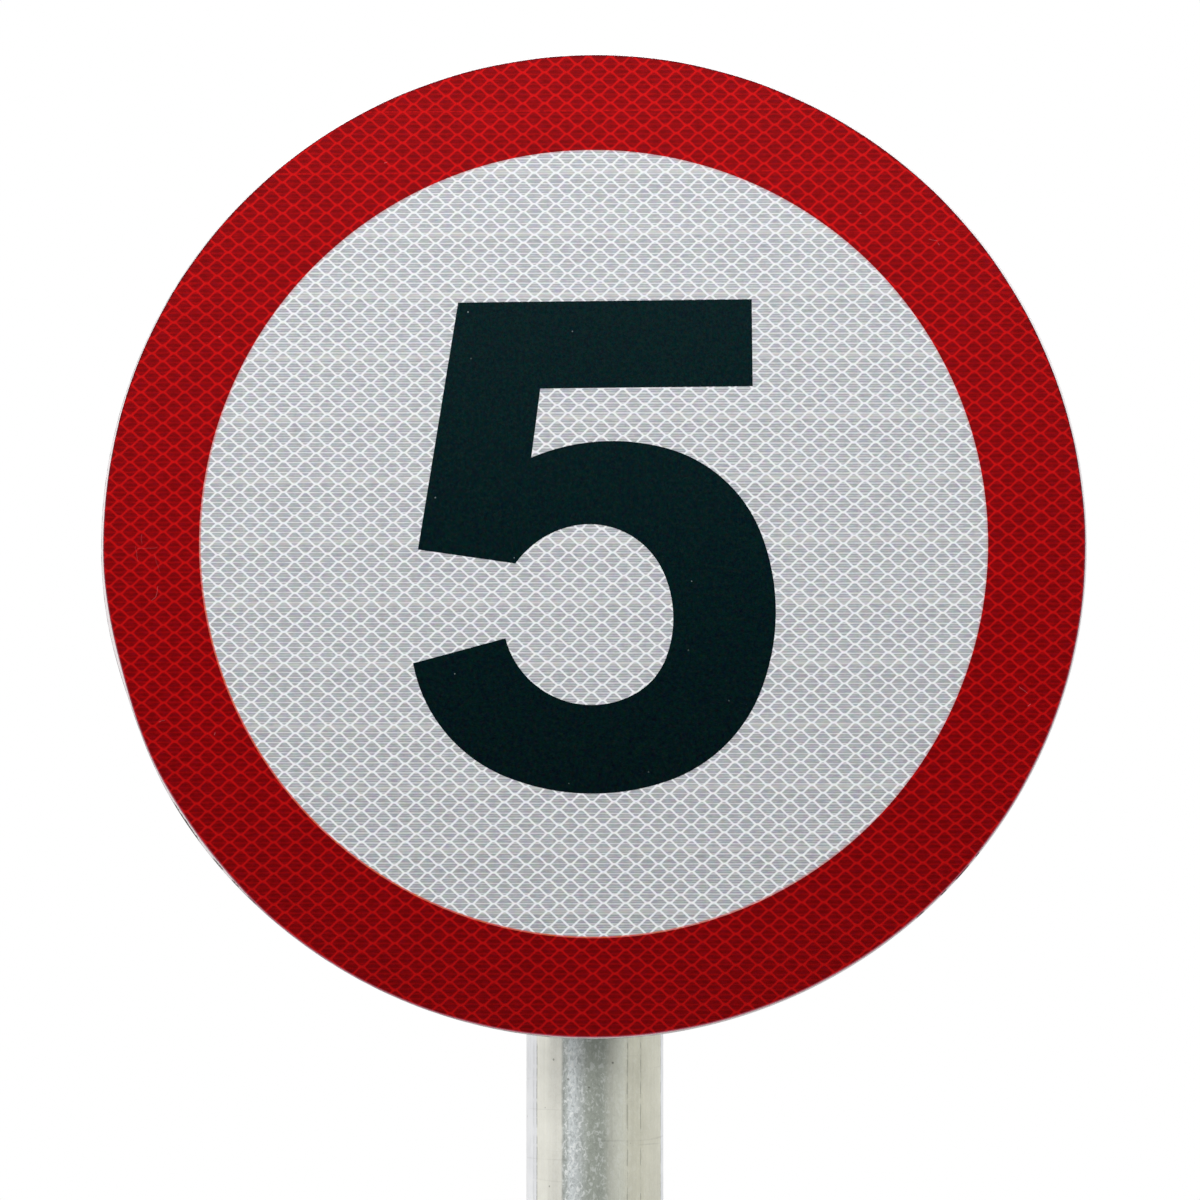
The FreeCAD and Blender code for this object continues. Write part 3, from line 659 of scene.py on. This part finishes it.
# One tree sets out every piece that repeats: copies in a row, and that row again one level down.
copies = bpy.data.node_groups.new("copies_on_the_back", "GeometryNodeTree")
copy_inputs = {}
for label, kind in (
    ("Piece", "Geometry"),
    ("First place", "Vector"),
    ("Across count", "Int"),
    ("Across step", "Vector"),
    ("Level count", "Int"),
    ("Level step", "Vector"),
    ("Largest turn", "Float"),
    ("Finish", "Material"),
):
    socket = copies.interface.new_socket(
        name=label, in_out="INPUT", socket_type=f"NodeSocket{kind}"
    )
    copy_inputs[label] = socket.identifier
copies.interface.new_socket(name="Copies", in_out="OUTPUT", socket_type="NodeSocketGeometry")
add = partial(add_node, copies)
given = add("NodeGroupInput", out="all")
across_line = add(
    "GeometryNodeMeshLine",
    {
        "Count": given["Across count"],
        "Start Location": given["First place"],
        "Offset": given["Across step"],
    },
)
chance = add("FunctionNodeRandomValue", {2: 0.0, 3: given["Largest turn"], "Seed": 7})
chance_turn = add("FunctionNodeEulerToRotation", (add("CombineXYZ", {"Y": chance}),))
row = add(
    "GeometryNodeInstanceOnPoints",
    {"Points": across_line, "Instance": given["Piece"], "Rotation": chance_turn},
)
level_line = add(
    "GeometryNodeMeshLine", {"Count": given["Level count"], "Offset": given["Level step"]}
)
levels = add("GeometryNodeInstanceOnPoints", {"Points": level_line, "Instance": row})
made_real = add("GeometryNodeRealizeInstances", (levels,))
coated = add("GeometryNodeSetMaterial", {"Geometry": made_real, "Material": given["Finish"]})
add("NodeGroupOutput", (coated,))


def set_out(name, shape, material, slot, nodes, first, count=1, step=(0, 0, 0), turn=0.0):
    """Sets a shape out with the tree, on both channels, as one plain piece for its CAD nodes."""
    holder = in_scene("one", as_mesh(shape))
    modifier = holder.modifiers.new("copies", "NODES")
    modifier.node_group = copies
    for label, value in (
        ("First place", first),
        ("Across count", count),
        ("Across step", step),
        ("Level count", 2),
        ("Level step", (0, 0, -CHANNEL_SPACING)),
        ("Largest turn", turn),
        ("Finish", material),
    ):
        modifier[copy_inputs[label]] = value
    graph = bpy.context.evaluated_depsgraph_get()
    result = bpy.data.meshes.new_from_object(holder.evaluated_get(graph))
    holder.modifiers.remove(modifier)
    bpy.data.objects.remove(holder)
    settle(name, result, material, slot, *nodes)


def tape_strip(offset):
    """One strip, at a height over the lowest, with its own bulges."""
    rings = []
    for step in range(TAPE_STEPS + 1):
        x = tape_length * (step / TAPE_STEPS - 0.5)
        low, high = [
            0.8 * BULGE * (1 + 0.6 * sin(x * speed + start))
            for speed, start in ((190, offset * 900), (260, 2 + offset * 700))
        ]
        top = offset + tape_width
        rings.append(
            [
                (x, 0, offset),
                (x, tape_thick / 2, offset - low),
                (x, tape_thick, offset),
                (x, tape_thick, top),
                (x, tape_thick / 2, top + high),
                (x, 0, top),
            ]
        )
    return skin(rings, capped=True)


def together(*shapes):
    """Several shapes as one."""
    whole = bmesh.new()
    for shape in shapes:
        whole.from_mesh(as_mesh(shape))
    return whole


set_out(
    "tapes",
    together(tape_strip(0), tape_strip(second_low.z - tape_low.z)),
    foam_tape(),
    "foam_tape",
    ["upper_top_tape", "upper_bottom_tape", "lower_top_tape", "lower_bottom_tape"],
    (0, tape_low.y, tape_low.z),
)

# The channels are aluminium, extruded through a die and sawn to length: a flat flange to bond to
# the blank, with a T-slot down the middle for bolt heads. They are left as they came.


def rounded(corners):
    """An outline whose corners, each (across, up, radius), are rounded in short steps."""
    points = []
    befores = corners[-1:] + corners[:-1]
    afters = corners[1:] + corners[:1]
    for before, corner, after in zip(befores, corners, afters):
        here = Vector(corner[:2])
        radius = corner[2]
        if radius == 0:
            points.append(here)
            continue
        back = (Vector(before[:2]) - here).normalized()
        ahead = (Vector(after[:2]) - here).normalized()
        half = back.angle(ahead) / 2
        middle = here + (back + ahead).normalized() * radius / sin(half)
        first = here + back * radius / tan(half) - middle
        last = here + ahead * radius / tan(half) - middle
        for step in range(ROUND_STEPS + 1):
            away = first.lerp(last, step / ROUND_STEPS).normalized() * radius
            points.append(middle + away)
    return points


def extruded(outline, low, high, axis, deburr):
    """A mesh of an outline drawn out along an axis, with a small break at its sawn ends."""
    rings = []
    for along in (low, high):
        rings.append([(along, *point) if axis == "X" else (*point, along) for point in outline])
    shape = skin(rings, capped=True)
    edges = [edge for face in list(shape.faces)[-2:] for edge in face.edges]
    bmesh.ops.bevel(shape, geom=edges, offset=deburr, segments=1, affect="EDGES")
    return shape


def extruded_aluminium(name, along):
    """As-extruded aluminium: bright die lines along one axis, and saw marks across it."""
    material, add, place = new_material(name)
    # Die lines are about 0.1 mm apart, and are drawn at 0.7 mm so that they show.
    line_pitch = 0.7 * MM
    line_length = 260 * MM
    line_scale = [1 / line_pitch] * 3
    line_scale[along] = 1 / line_length
    die_lines = drawn_grain(add, place, line_scale, detail=4, roughness=0.65)
    # The saw's marks run round a point off the piece, 2.8 mm apart, which is coarser than real.
    saw_place = add("VectorMath", (place, (0.09, 0.12, 0.05)), "ADD")
    saw_marks = add(
        "TexWave", {"Vector": saw_place, "Scale": 1 / (9 * MM), "Distortion": 1.5, "Detail": 3},
        out="Fac", wave_type="RINGS", rings_direction="XYZ"[along],
    )
    facing = add("SeparateXYZ", (add("NewGeometry", out="Normal"),), out="XYZ"[along])
    sawn = add("Math", (add("Math", (facing,), "ABSOLUTE"), 0.9), "GREATER_THAN")
    marks = add("Mix", (sawn, die_lines, saw_marks), "FLOAT")
    # Smudges of 33 mm dull it in places.
    smudges = add("TexNoise", {"Vector": place, "Scale": 30, "Detail": 5, "Roughness": 0.6})
    tone = add("Mix", (marks, "#B4B7BA", "#D2D5D7"))
    rough = add("MapRange", (smudges, 0.3, 0.7, 0.28, 0.46))
    relief = add("Bump", {"Height": marks, "Strength": 0.5, "Distance": 0.04 * MM})
    sockets = {"Base Color": tone, "Metallic": 1.0, "Roughness": rough, "Normal": relief}
    return finished(material, add, sockets)


CHANNEL_ROUND = 0.4
CHANNEL_DEPTH = 11.2
FLANGE_HALF = 22
FLANGE_THICK = 2
BOX_HALF = 9
CAVITY_HALF = 7
SLOT_HALF = 4.5
LIP_THICK = 2.2
half_channel = [
    (-CHANNEL_DEPTH, FLANGE_HALF),
    (FLANGE_THICK - CHANNEL_DEPTH, FLANGE_HALF),
    (FLANGE_THICK - CHANNEL_DEPTH, BOX_HALF),
    (0, BOX_HALF),
    (0, SLOT_HALF),
    (-LIP_THICK, SLOT_HALF),
    (-LIP_THICK, CAVITY_HALF),
    (FLANGE_THICK - CHANNEL_DEPTH, CAVITY_HALF),
]
channel_corners = half_channel + [(y, -z) for y, z in reversed(half_channel)]
channel_outline = rounded([(y * MM, z * MM, CHANNEL_ROUND * MM) for y, z in channel_corners])
set_out(
    "channels",
    extruded(channel_outline, upper_low.x, upper_high.x, "X", deburr=0.15 * MM),
    extruded_aluminium("extruded_aluminium_channel", 0),
    "extruded_aluminium",
    ["upper_channel", "lower_channel"],
    (0, upper_high.y, (upper_low.z + upper_high.z) / 2),
)

# The post is welded steel tube, dipped in molten zinc after it was cut. The zinc froze in faint
# crystals, with upright roll lines, small bright flecks, dull patches and a few pinholes.
post_low, post_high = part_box("post")
POST_RADIUS = (post_high.x - post_low.x) / 2
POST_BORE = POST_RADIUS - 3.2 * MM
# Each upright line: degrees round from the front, towards the right, then width and darkness.
ROLL_LINES = (
    (-61.5, 0.4, 0.35),
    (-56.3, 0.5, 0.7),
    (-26.2, 1.4, 0.3),
    (28.8, 0.6, 0.32),
    (42.4, 0.3, 0.45),
    (74.4, 0.6, 0.5),
    (121, 0.6, 0.4),
    (163, 0.5, 0.45),
    (-112, 0.5, 0.35),
    (-148, 0.7, 0.4),
)
# The strips between them are painted reflection of the studio: each is the angle where it ends,
# its colour, how strongly it is flecked, and over how many degrees it fades into the next.
REFLECTION_STRIPS = (
    (-148, "#D9D9CF", 0.15, 4),
    (-112, "#D0D1C8", 0.4, 4),
    (-84, "#E4E6E2", 0.2, 8),
    (-56.3, "#FAFBFD", 0.05, 0.6),
    (-40, "#F8F7EC", 0.1, 7),
    (-27, "#EAE9DF", 0.15, 1.5),
    (-22, "#C6CCC8", 0.9, 1.5),
    (-9.5, "#E2E8E8", 0.95, 8),
    (11, "#CAD1C5", 0.45, 5),
    (27, "#E5E7D9", 0.2, 6),
    (46, "#DAD9C7", 0.12, 2),
    (74.4, "#E0DFCE", 0.1, 0.6),
    (88, "#F2F5F8", 0.05, 8),
    (121, "#DDDED8", 0.2, 4),
    (163, "#D2D3CA", 0.45, 4),
    (180, "#D9D9CF", 0.15, 4),
)


def galvanised_steel():
    """Hot-dip zinc on tube: pale, half dull, in strips of painted reflection, with painted glints
    on flecks.
    """
    material, add, place = new_material("hot_dip_galvanised_steel")
    split = add("SeparateXYZ", (place,), out="all")
    towards_front = add("Math", (split["Y"], -1.0), "MULTIPLY")
    around = add("Math", (split["X"], towards_front), "ARCTAN2")
    # The lines wander by half a degree every 22 mm along the tube.
    wander = add("Math", (drawn_grain(add, place, (1, 1, 45), detail=4), 2, -1), "MULTIPLY_ADD")
    wandering = add("Math", (around, 180 / pi, wander), "MULTIPLY_ADD")
    # Each strip's colour is painted reflection: pale where light is mirrored, darker where the
    # room's dark end is.
    reflection_tone, strip_flecks = REFLECTION_STRIPS[-1][1:3]
    for end, code, flecked_share, soft in REFLECTION_STRIPS[-2::-1]:
        inside = add("MapRange", (wandering, end - soft, end + soft, 1, 0), "SMOOTHSTEP")
        reflection_tone = add("Mix", (inside, reflection_tone, code))
        strip_flecks = add("Mix", (inside, strip_flecks, flecked_share), "FLOAT")
    # Upright streaks, 2 by 70 mm, and slow clouds of 17 mm vary each strip.
    streaks = drawn_grain(add, place, (520, 520, 14), detail=4, roughness=0.6)
    cloud = add("TexNoise", {"Vector": place, "Scale": 60, "Detail": 5, "Roughness": 0.65})
    clouded = add("Math", (cloud, 0.25, 0.765), "MULTIPLY_ADD")
    varied = add("Math", (streaks, 0.22, clouded), "MULTIPLY_ADD")
    zinc_and_reflection_tone = add("VectorMath", (reflection_tone, varied), "SCALE")
    # Flecks: crystals 1 to 2 mm across, painted bright as glints on the duller strips, with dark
    # gaps between some.
    flecks = drawn_grain(add, place, (680, 680, 470), detail=3, roughness=0.6, distortion=0.9)
    light_fleck = add("MapRange", (flecks, 0.545, 0.6, 0, 1.0), "SMOOTHSTEP")
    dark_fleck = add("MapRange", (flecks, 0.46, 0.37, 0, 0.36), "SMOOTHSTEP")
    glint_share = add("Math", (light_fleck, strip_flecks), "MULTIPLY")
    dark_share = add("Math", (dark_fleck, strip_flecks), "MULTIPLY")
    with_painted_glints = add("Mix", (glint_share, zinc_and_reflection_tone, "#F8FBF9"))
    flecked = add("Mix", (dark_share, with_painted_glints, "#7C8078"))
    # Upright roll lines, broken every 5 mm of their length.
    breaks = drawn_grain(add, place, (8, 8, 210), detail=4)
    whole = add("MapRange", (breaks, 0.4, 0.56, 0.15), "SMOOTHSTEP")
    lines = 0.0
    for where, width, depth in ROLL_LINES:
        near = beside(add, wandering, where, width * 0.5, width * 1.6, depth)
        lines = add("Math", (lines, near), "MAXIMUM")
    line_share = add("Math", (lines, whole), "MULTIPLY")
    lined = add("Mix", (line_share, flecked, "#6E7068"))
    # Faint scratches round the tube, 45 mm long and 2 mm wide, and pinholes 10 mm apart.
    rings = drawn_grain(add, place, (22, 22, 520), detail=1)
    scratch = add("MapRange", (rings, 0.69, 0.8, 0, 0.16))
    holes = add("TexVoronoi", {"Vector": place, "Scale": 1 / (10 * MM)})
    hole = add("MapRange", (holes, 0.035, 0.065, 0.65, 0))
    harm = add("Math", (scratch, hole), "MAXIMUM")
    harmed = add("Mix", (harm, lined, "#6C6A5C"))
    rough = add("MapRange", (cloud, 0.3, 0.7, 0.44, 0.34))
    # Crystals that stand out scatter the light, the rest of the zinc mirrors it softly.
    metal = add("MapRange", (glint_share, 0, 1, 0.68, 0.25))
    fleck_height = add("Math", (flecks, strip_flecks), "MULTIPLY")
    height = add("Math", (streaks, 0.25, fleck_height), "MULTIPLY_ADD")
    scored = add("Math", (height, line_share), "SUBTRACT")
    relief = add("Bump", {"Height": scored, "Strength": 0.8, "Distance": 0.3 * MM})
    sockets = {"Base Color": harmed, "Metallic": metal, "Roughness": rough, "Normal": relief}
    return finished(material, add, sockets)


BREAK = 0.5 * MM
post_profile = [
    (POST_BORE + BREAK, post_low.z),
    (POST_RADIUS - BREAK, post_low.z),
    (POST_RADIUS, post_low.z + BREAK),
    (POST_RADIUS, post_high.z - BREAK),
    (POST_RADIUS - BREAK, post_high.z),
    (POST_BORE + BREAK, post_high.z),
    (POST_BORE, post_high.z - BREAK),
    (POST_BORE, post_low.z + BREAK),
]
tube_shape = turned(post_profile, "Z", 192, closed=True)
settle("tube", tube_shape, galvanised_steel(), "galvanised_steel", "post")

# The cap is moulded black polyethylene, pushed over the post's upper end: a ribless skirt with a
# low dome, a rounded shoulder, and the small pip where the plastic entered the mould.
cap_low, cap_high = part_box("post_cap")
CAP_RADIUS = (cap_high.x - cap_low.x) / 2
CAP_BORE = CAP_RADIUS - 2.2 * MM
CAP_SHOULDER = post_high.z + 2.5 * MM
SHOULDER_ROUND = 1.6 * MM
PIP_RADIUS = 2.2 * MM
DOME_STEPS = 12
SHOULDER_STEPS = 6
dome = cap_high.z - CAP_SHOULDER
dome_radius = (CAP_RADIUS**2 + dome**2) / (2 * dome)
dome_middle = cap_high.z - dome_radius
dome_start = PIP_RADIUS * 1.2
dome_end = CAP_RADIUS - SHOULDER_ROUND * 1.1


def moulded_polyethylene():
    """Black polyethylene from a lightly blasted mould: soft sheen, scuffed paler on top."""
    material, add, place = new_material("moulded_black_polyethylene")
    # The blasted grain is 0.5 mm, and the scuffs on it are 8 mm.
    grain = add("TexNoise", {"Vector": place, "Scale": 1 / (0.5 * MM), "Detail": 2})
    scuffs = add("TexNoise", {"Vector": place, "Scale": 120, "Detail": 6, "Roughness": 0.7})
    scuffs_and_painted_shade = add("MapRange", (scuffs, 0.5, 0.72), "SMOOTHSTEP")
    tone = add("Mix", (scuffs_and_painted_shade, "#1A1B1D", "#34363A"))
    relief = add("Bump", {"Height": grain, "Strength": 0.35, "Distance": 0.05 * MM})
    rough = add("MapRange", (scuffs, 0, 1, 0.38, 0.62))
    sockets = {"Base Color": tone, "Roughness": rough, "IOR": 1.51, "Normal": relief}
    return finished(material, add, sockets)


cap_profile = [
    (0, cap_high.z - 0.15 * MM),
    (PIP_RADIUS * 0.8, cap_high.z - 0.15 * MM),
    (PIP_RADIUS, cap_high.z - 0.35 * MM),
]
for step in range(DOME_STEPS):
    reach = dome_start + (dome_end - dome_start) * step / (DOME_STEPS - 1)
    cap_profile.append((reach, dome_middle + sqrt(dome_radius**2 - reach**2)))
shoulder_reach, shoulder_top = cap_profile[-1]
for step in range(1, SHOULDER_STEPS + 1):
    angle = pi / 2 * step / SHOULDER_STEPS
    reach = shoulder_reach + (CAP_RADIUS - shoulder_reach) * sin(angle)
    cap_profile.append((reach, shoulder_top - SHOULDER_ROUND * 1.1 * (1 - cos(angle))))
cap_profile += [
    (CAP_RADIUS, cap_low.z + 0.5 * MM),
    (CAP_RADIUS - 0.15 * MM, cap_low.z + 0.15 * MM),
    (CAP_RADIUS - 0.5 * MM, cap_low.z),
    (CAP_BORE + 0.4 * MM, cap_low.z),
    (CAP_BORE, cap_low.z + 0.5 * MM),
    (CAP_BORE, post_high.z),
    (0, post_high.z),
]
cap_shape = turned(cap_profile, "Z", 144)
settle("cap", cap_shape, moulded_polyethylene(), "cap_plastic", "post_cap")

# Each clip is a saddle of extruded aluminium that hugs the back of the post, with two drilled
# feet that the bolts pull towards the channel. The section was sawn into 28 mm lengths.
clip_low, clip_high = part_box("upper_clip")
CLIP_INSIDE = POST_RADIUS + 0.1 * MM
CLIP_OUTSIDE = CLIP_INSIDE + 3 * MM
FOOT_FRONT = clip_low.y
FOOT_BACK = clip_low.y + 4 * MM
FOOT_END = clip_high.x
BEND = 2.2 * MM
CLIP_EDGE = 0.6 * MM
bolt_low, bolt_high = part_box("upper_right_bolt")
bolt_middle = (bolt_low + bolt_high) / 2
clip_half = (clip_high.z - clip_low.z) / 2
HOLE_RADIUS = 4.5 * MM
DRILL_HALF = 6 * MM
ARC_STEPS = 60
arc = [pi * step / ARC_STEPS for step in range(ARC_STEPS + 1)]
clip_corners = [
    (FOOT_END, FOOT_FRONT, CLIP_EDGE),
    (FOOT_END, FOOT_BACK, CLIP_EDGE),
    (CLIP_OUTSIDE, FOOT_BACK, BEND),
    *[(CLIP_OUTSIDE * cos(turn), CLIP_OUTSIDE * sin(turn), 0) for turn in arc],
    (-CLIP_OUTSIDE, FOOT_BACK, BEND),
    (-FOOT_END, FOOT_BACK, CLIP_EDGE),
    (-FOOT_END, FOOT_FRONT, CLIP_EDGE),
    (-CLIP_INSIDE, FOOT_FRONT, BEND),
    *[(CLIP_INSIDE * cos(turn), CLIP_INSIDE * sin(turn), 0) for turn in reversed(arc)],
    (CLIP_INSIDE, FOOT_FRONT, BEND),
]
clip_shape = extruded(rounded(clip_corners), -clip_half, clip_half, "Z", deburr=0.25 * MM)
foot_middle = (FOOT_FRONT + FOOT_BACK) / 2
drill_profile = [(0, -DRILL_HALF), (HOLE_RADIUS, -DRILL_HALF)]
drill_profile += [(radius, -along) for radius, along in reversed(drill_profile)]
drill_shapes = [
    turned(drill_profile, "Y", 48, Vector((x, foot_middle, 0)))
    for x in (-bolt_middle.x, bolt_middle.x)
]
clip = in_scene("clip", as_mesh(clip_shape))
drills = in_scene("drills", as_mesh(together(*drill_shapes)))
drilling = clip.modifiers.new("holes", "BOOLEAN")
drilling.object = drills
drilling.operation = "DIFFERENCE"
drilling.solver = "EXACT"
graph = bpy.context.evaluated_depsgraph_get()
drilled = bpy.data.meshes.new_from_object(clip.evaluated_get(graph))
for thing in (clip, drills):
    bpy.data.objects.remove(thing)
set_out(
    "clips",
    drilled,
    extruded_aluminium("extruded_aluminium_clip", 2),
    "extruded_aluminium",
    ["upper_clip", "lower_clip"],
    (0, 0, (clip_low.z + clip_high.z) / 2),
)

# Four M8 bolts sit with their heads in the T-slots. Each passes through a foot of a clip and
# takes a washer and a nut. All are steel with a bright, slightly blue zinc plating.
BOLT_RADIUS = 4 * MM
THREAD_PITCH = 1.25 * MM
THREAD_DEPTH = 0.61 * MM
HEAD_HEIGHT = 5.3 * MM
HEX_HALF = 6.5 * MM
HEX_FACE = HEX_HALF - 0.35 * MM
END_CHAMFER = 0.9 * MM
bolt_under_head = bolt_low.y + HEAD_HEIGHT
BOLT_LENGTH = bolt_high.y - bolt_under_head
THREAD_ROWS = 160


def hexagon(turn):
    """The radius of the hexagon at a turn, with corners to the left and right."""
    return HEX_HALF / cos(turn % (pi / 3) - pi / 6)


def hexagon_drop(turn):
    """How far the 30 degree chamfer has cut down at a turn."""
    return (hexagon(turn) - HEX_FACE) * tan(radians(30))


def threaded(along, turn):
    """A point of the shank, with its thread and end chamfer, at a place from under the head."""
    share = (along / THREAD_PITCH - turn / (2 * pi)) % 1
    ridge = min(1.0, max(0.0, 1.25 - 2.5 * abs(share - 0.5)))
    radius = BOLT_RADIUS - THREAD_DEPTH * (1 - ridge)
    chamfered = BOLT_RADIUS - max(0.0, along - (BOLT_LENGTH - END_CHAMFER))
    return min(radius, chamfered), along


def zinc_plate():
    """Bright zinc electroplate: cool and glossy, a little dulled by handling, 6 mm at a time."""
    material, add, place = new_material("bright_zinc_plated_steel")
    handling = add("TexNoise", {"Vector": place, "Scale": 160, "Detail": 4})
    tone = add("Mix", (handling, "#B2B8BF", "#CFD5DA"))
    rough = add("MapRange", (handling, 0.3, 0.7, 0.18, 0.34))
    return finished(material, add, {"Base Color": tone, "Metallic": 1.0, "Roughness": rough})


zinc = zinc_plate()


def fasten(name, shape, front, turn=0.0):
    """Sets a fastener out at the four feet, each turned by chance up to the largest turn."""
    sides = ("upper_left", "upper_right", "lower_left", "lower_right")
    nodes = [f"{side}_{name}" for side in sides]
    first = (-bolt_middle.x, front, bolt_middle.z)
    step = (2 * bolt_middle.x, 0, 0)
    set_out(f"{name}s", shape, zinc, "zinc_plated_steel", nodes, first, 2, step, turn)


bolt_profile = [
    (0, -HEAD_HEIGHT),
    (HEX_FACE, -HEAD_HEIGHT),
    lambda turn: (hexagon(turn), -HEAD_HEIGHT + hexagon_drop(turn)),
    lambda turn: (hexagon(turn), 0),
    (BOLT_RADIUS, 0),
]
for step in range(1, THREAD_ROWS + 1):
    bolt_profile.append(partial(threaded, BOLT_LENGTH * step / THREAD_ROWS))
bolt_profile.append((0, BOLT_LENGTH))
fasten("bolt", turned(bolt_profile, "Y", 48), bolt_under_head)

# The washers are flat rings of the same plated steel, under the nuts. They are punched from
# strip, which rounds the edges of the face that lies by the nut.
washer_low, washer_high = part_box("upper_right_washer")
WASHER_HOLE = 4.2 * MM
washer_radius = (washer_high.x - washer_low.x) / 2
washer_thick = washer_high.y - washer_low.y
washer_profile = [
    (WASHER_HOLE, 0.1 * MM),
    (WASHER_HOLE + 0.1 * MM, 0),
    (washer_radius - 0.1 * MM, 0),
    (washer_radius, 0.1 * MM),
    (washer_radius, washer_thick - 0.35 * MM),
    (washer_radius - 0.1 * MM, washer_thick - 0.1 * MM),
    (washer_radius - 0.35 * MM, washer_thick),
    (WASHER_HOLE + 0.3 * MM, washer_thick),
    (WASHER_HOLE, washer_thick - 0.25 * MM),
]
fasten("washer", turned(washer_profile, "Y", 64, closed=True), washer_low.y)

# The nuts are cold formed from plated steel and chamfered on both sides. Each was tightened by
# hand, and stopped at a turn of its own.
nut_low, nut_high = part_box("upper_right_nut")
NUT_HEIGHT = nut_high.y - nut_low.y
NUT_BORE = 4.05 * MM
nut_profile = [
    (NUT_BORE, 0.4 * MM),
    (NUT_BORE + 0.4 * MM, 0),
    (HEX_FACE, 0),
    lambda turn: (hexagon(turn), hexagon_drop(turn)),
    lambda turn: (hexagon(turn), NUT_HEIGHT - hexagon_drop(turn)),
    (HEX_FACE, NUT_HEIGHT),
    (NUT_BORE + 0.4 * MM, NUT_HEIGHT),
    (NUT_BORE, NUT_HEIGHT - 0.4 * MM),
]
fasten("nut", turned(nut_profile, "Y", 72, closed=True), nut_low.y, turn=radians(50))

# The studio: a pale floor that fades into a white room, one large soft lamp above the front, one
# above the back, and a darker end of the room behind the camera for the glossy surfaces.
FLOOR_RADIUS = 6.0
floor_shape = bmesh.new()
bmesh.ops.create_circle(floor_shape, cap_ends=True, radius=FLOOR_RADIUS, segments=96)
floor = in_scene("floor", as_mesh(floor_shape))

floor_material, add, place = new_material("pale_studio_floor")
ray = add("LightPath", out="all")
fade = add("MapRange", (add("VectorMath", (place,), "LENGTH"), 0.5, 3.2), "SMOOTHSTEP")
lit = add("BsdfDiffuse", {"Color": (0.8, 0.8, 0.8, 1)})
glow = add("Emission", {"Color": (1, 1, 1, 1), "Strength": 0.2})
near_floor = add("AddShader", (lit, glow))
far_floor = add("Emission", {"Color": (1, 1, 1, 1), "Strength": 1.0})
shown = add("MixShader", (fade, near_floor, far_floor))
bounced = add("BsdfDiffuse", {"Color": (0.7, 0.7, 0.7, 1)})
add("OutputMaterial", (add("MixShader", (ray["Is Camera Ray"], bounced, shown)),))
floor.data.materials.append(floor_material)


def direction(right, up):
    """The direction at some degrees right of straight in front of the sign, and some up."""
    turn, rise = radians(right), radians(up)
    level = cos(rise)
    return Vector((sin(turn) * level, -cos(turn) * level, sin(rise)))


world = bpy.data.worlds.new("studio")
bpy.context.scene.world = world
world.use_nodes = True
room = world.node_tree
room.nodes.clear()
add = partial(add_node, room)
ray = add("LightPath", out="all")
way = add("TexCoord", out="Generated")
towards_dark = add("VectorMath", (way, direction(4, -11)), "DOT_PRODUCT")
room_glow = add("MapRange", (towards_dark, 0.66, 0.94, 0.95, 0.02), "SMOOTHSTEP")
gloss = add("Background", {"Color": (1, 1, 1, 1), "Strength": room_glow})
fill = add("Background", {"Color": (1, 1, 1, 1), "Strength": 0.52})
behind = add("Background", {"Color": (1, 1, 1, 1), "Strength": 1.0})
soft_or_glossy = add("MixShader", (ray["Is Glossy Ray"], fill, gloss))
seen_straight = add("Math", (ray["Is Camera Ray"], ray["Is Transmission Ray"]), "MAXIMUM")
add("OutputWorld", (add("MixShader", (seen_straight, soft_or_glossy, behind)),))

LAMPS = {"front_softbox": ((-0.3, -1.35, 2.75), 28.5), "back_softbox": ((0.5, 2.0, 2.6), 18)}
for name, (spot, power) in LAMPS.items():
    data = bpy.data.lights.new(name, "AREA")
    data.shape = "RECTANGLE"
    data.size, data.size_y = 1.5, 1.0
    data.energy = power
    lamp = in_scene(name, data)
    lamp.location = spot
    lamp.rotation_euler = (face_middle - Vector(spot)).to_track_quat("-Z", "Y").to_euler()
    lamp.visible_camera = False

# The camera stands 2.2 m off, a little right of the sign and a little below its middle.
CAMERA_DISTANCE = 2.2
CAMERA_RIGHT = 1.0
CAMERA_UP = -2.5
AIM_RIGHT = 3.14 * MM
AIM_BELOW = 25.16 * MM
camera_data = bpy.data.cameras.new("camera")
camera_data.lens = 144.6
camera_data.sensor_width = 36
camera = in_scene("camera", camera_data)
front_middle = Vector((0, blank_low.y, face_middle.z))
camera.location = front_middle + CAMERA_DISTANCE * direction(CAMERA_RIGHT, CAMERA_UP)
aim = front_middle + Vector((AIM_RIGHT, 0, -AIM_BELOW))
camera.rotation_euler = (aim - camera.location).to_track_quat("-Z", "Y").to_euler()
bpy.context.scene.camera = camera
bpy.context.scene.view_settings.view_transform = "Standard"
